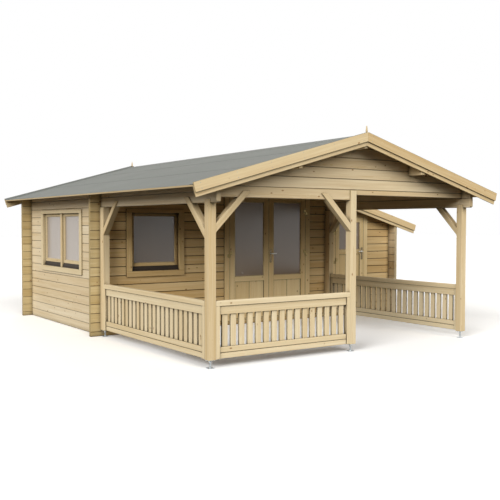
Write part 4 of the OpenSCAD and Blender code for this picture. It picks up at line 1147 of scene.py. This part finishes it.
FOOT_H = 100.0
PLATE_HALF = 40.0
PLATE_T = 6.0
PLATE_CORNER = 6.0
BOLT_AT = 28.0
BOLT_HEAD = ((8.0, 0.0), (8.0, 3.5), (6.5, 4.5))
ROD_R = 11.0
THREAD = 3.0
THREAD_DEPTH = 1.4
NUT = ((16.0, 0.1), (18.0, 2.0), (18.0, 14.0), (16.0, 16.0))
NUT_H = 16.0
SIX_SIDES = 6
TOP_NUT_GAP = 12.0
# From a wall post's front face to its middle
WALL_POST_IN = 65.0


def post_feet():
    feet = Solids()
    wall_y = WALL_POST_FACE + WALL_POST_IN
    for x, y in ((0, 0), (RIDGE_X, 0), (FRONT_W, 0), (0, wall_y), (FRONT_W, wall_y)):
        feet.place = lambda p, x=x, y=y: (p[0] + x, p[1] + y, p[2])
        top = FOOT_H - SEAT
        under = top - PLATE_T
        for z0, z1, face, out in ((0, PLATE_T, PLATE_T, 1), (under, top, under, -1)):
            outline = rounded(-PLATE_HALF, PLATE_HALF, -PLATE_HALF, PLATE_HALF, PLATE_CORNER)
            feet.prism(outline, z0, z1, "z")
            for dx in (-BOLT_AT, BOLT_AT):
                for dy in (-BOLT_AT, BOLT_AT):
                    feet.turned([(r, face + out * h) for r, h in BOLT_HEAD], (dx, dy, 0),
                                steps=SIX_SIDES)
        thread = []
        z = PLATE_T
        while z < under:
            thread += [(ROD_R - THREAD_DEPTH, z), (ROD_R, z + THREAD / 2)]
            z += THREAD
        feet.turned(thread + [(ROD_R - THREAD_DEPTH, under)], (0, 0, 0))
        for z0 in (PLATE_T, under - NUT_H - TOP_NUT_GAP):
            feet.turned([(r, z0 + h) for r, h in NUT], (0, 0, 0), steps=SIX_SIDES)
    fitting(feet, "adjustable_feet", "cabin", "galvanised_steel", GALVANISED, ["post_feet"])


post_feet()


# Screws in the front barge boards, in pairs down the slope

BARGE_SCREW_PAIRS = 6
BARGE_SCREW_IN = 90.0
BARGE_SCREW_N = (BARGE_N - 25, BARGE_N - 90)
BARGE_SCREW_R = 4.5


def board_screws():
    heads = Solids()
    y = Y_BARGE_FRONT - 2 * BARGE_T
    run = eave_s(MAIN_REACH) - 2 * BARGE_SCREW_IN
    for side in (-1, 1):
        heads.place = on_slope(side)
        for i in range(BARGE_SCREW_PAIRS):
            s = BARGE_SCREW_IN + i * run / (BARGE_SCREW_PAIRS - 1)
            for n in BARGE_SCREW_N:
                screw(heads, (s, y, n), -1, BARGE_SCREW_R)
    piece = heads.make("barge_screws", "cabin", "galvanised_steel")
    piece.data.materials.append(GALVANISED)


board_screws()


# Stage: pale floor, white surroundings and soft light, in metres. Each lamp has a strength, a spread
# in degrees and the direction that it stands in.

FLOOR_FAR = 80.0
FLOOR_GAP = 0.001
FLOOR_BOUNCE = (0.05, 0.05, 0.045, 1)
FLOOR_SHOWN = (1.22, 1.24, 1.29, 1)
DOME_COLOUR = (1.0, 0.935, 0.81, 1)
DOME_STRENGTH = 0.25
LAMP_COLOUR = (1.0, 0.98, 0.935)
LAMPS = (("key", 2.57, 34, (-0.86, -0.40, 0.46)),
         ("fill", 1.82, 40, (-0.05, -0.89, 0.47)),
         ("back", 0.9, 60, (0.62, 0.70, 0.40)))


def shown(tree):
    """One for the rays that the eye follows, straight or by way of metal and glass."""
    path = add(tree, "ShaderNodeLightPath").outputs
    seen = add(tree, "ShaderNodeMath", {0: path["Is Camera Ray"], 1: path["Is Glossy Ray"]},
               operation="MAXIMUM").outputs[0]
    return add(tree, "ShaderNodeMath", {0: seen, 1: path["Is Transmission Ray"]},
               operation="MAXIMUM").outputs[0]


def make_floor():
    """Pale floor that keeps the shadow and turns white in the open."""
    material, tree, surface = new_material("pale_floor")
    bounce = add(tree, "ShaderNodeBsdfDiffuse", {"Color": FLOOR_BOUNCE})
    white = add(tree, "ShaderNodeBsdfDiffuse", {"Color": FLOOR_SHOWN})
    mixed = add(tree, "ShaderNodeMixShader", {0: shown(tree), 1: bounce.outputs[0], 2: white.outputs[0]})
    tree.links.new(mixed.outputs[0], surface)
    mesh = bpy.data.meshes.new("floor")
    corners = [(-FLOOR_FAR, -FLOOR_FAR, 0), (FLOOR_FAR, -FLOOR_FAR, 0), (FLOOR_FAR, FLOOR_FAR, 0),
               (-FLOOR_FAR, FLOOR_FAR, 0)]
    mesh.from_pydata(corners, [], [(0, 1, 2, 3)])
    mesh.materials.append(material)
    floor = bpy.data.objects.new("floor", mesh)
    floor.location.z = -FLOOR_GAP
    scene.collection.objects.link(floor)


def make_light():
    """White surroundings for the eye, a dim warm dome and three soft lamps for the cabin."""
    world = bpy.data.worlds.new("studio")
    world.use_nodes = True
    tree = world.node_tree
    tree.nodes.clear()
    dome = add(tree, "ShaderNodeBackground", {"Color": DOME_COLOUR, "Strength": DOME_STRENGTH})
    white = add(tree, "ShaderNodeBackground", {"Color": (1, 1, 1, 1), "Strength": 1.0})
    mixed = add(tree, "ShaderNodeMixShader", {0: shown(tree), 1: dome.outputs[0], 2: white.outputs[0]})
    add(tree, "ShaderNodeOutputWorld", {0: mixed.outputs[0]})
    scene.world = world
    for name, energy, spread, way in LAMPS:
        data = bpy.data.lights.new(name, "SUN")
        data.energy = energy
        data.color = LAMP_COLOUR
        data.angle = math.radians(spread)
        lamp = bpy.data.objects.new(name, data)
        lamp.rotation_euler = (-Vector(way)).to_track_quat("-Z", "Y").to_euler()
        scene.collection.objects.link(lamp)


make_floor()
make_light()
scene.view_settings.view_transform = "Standard"
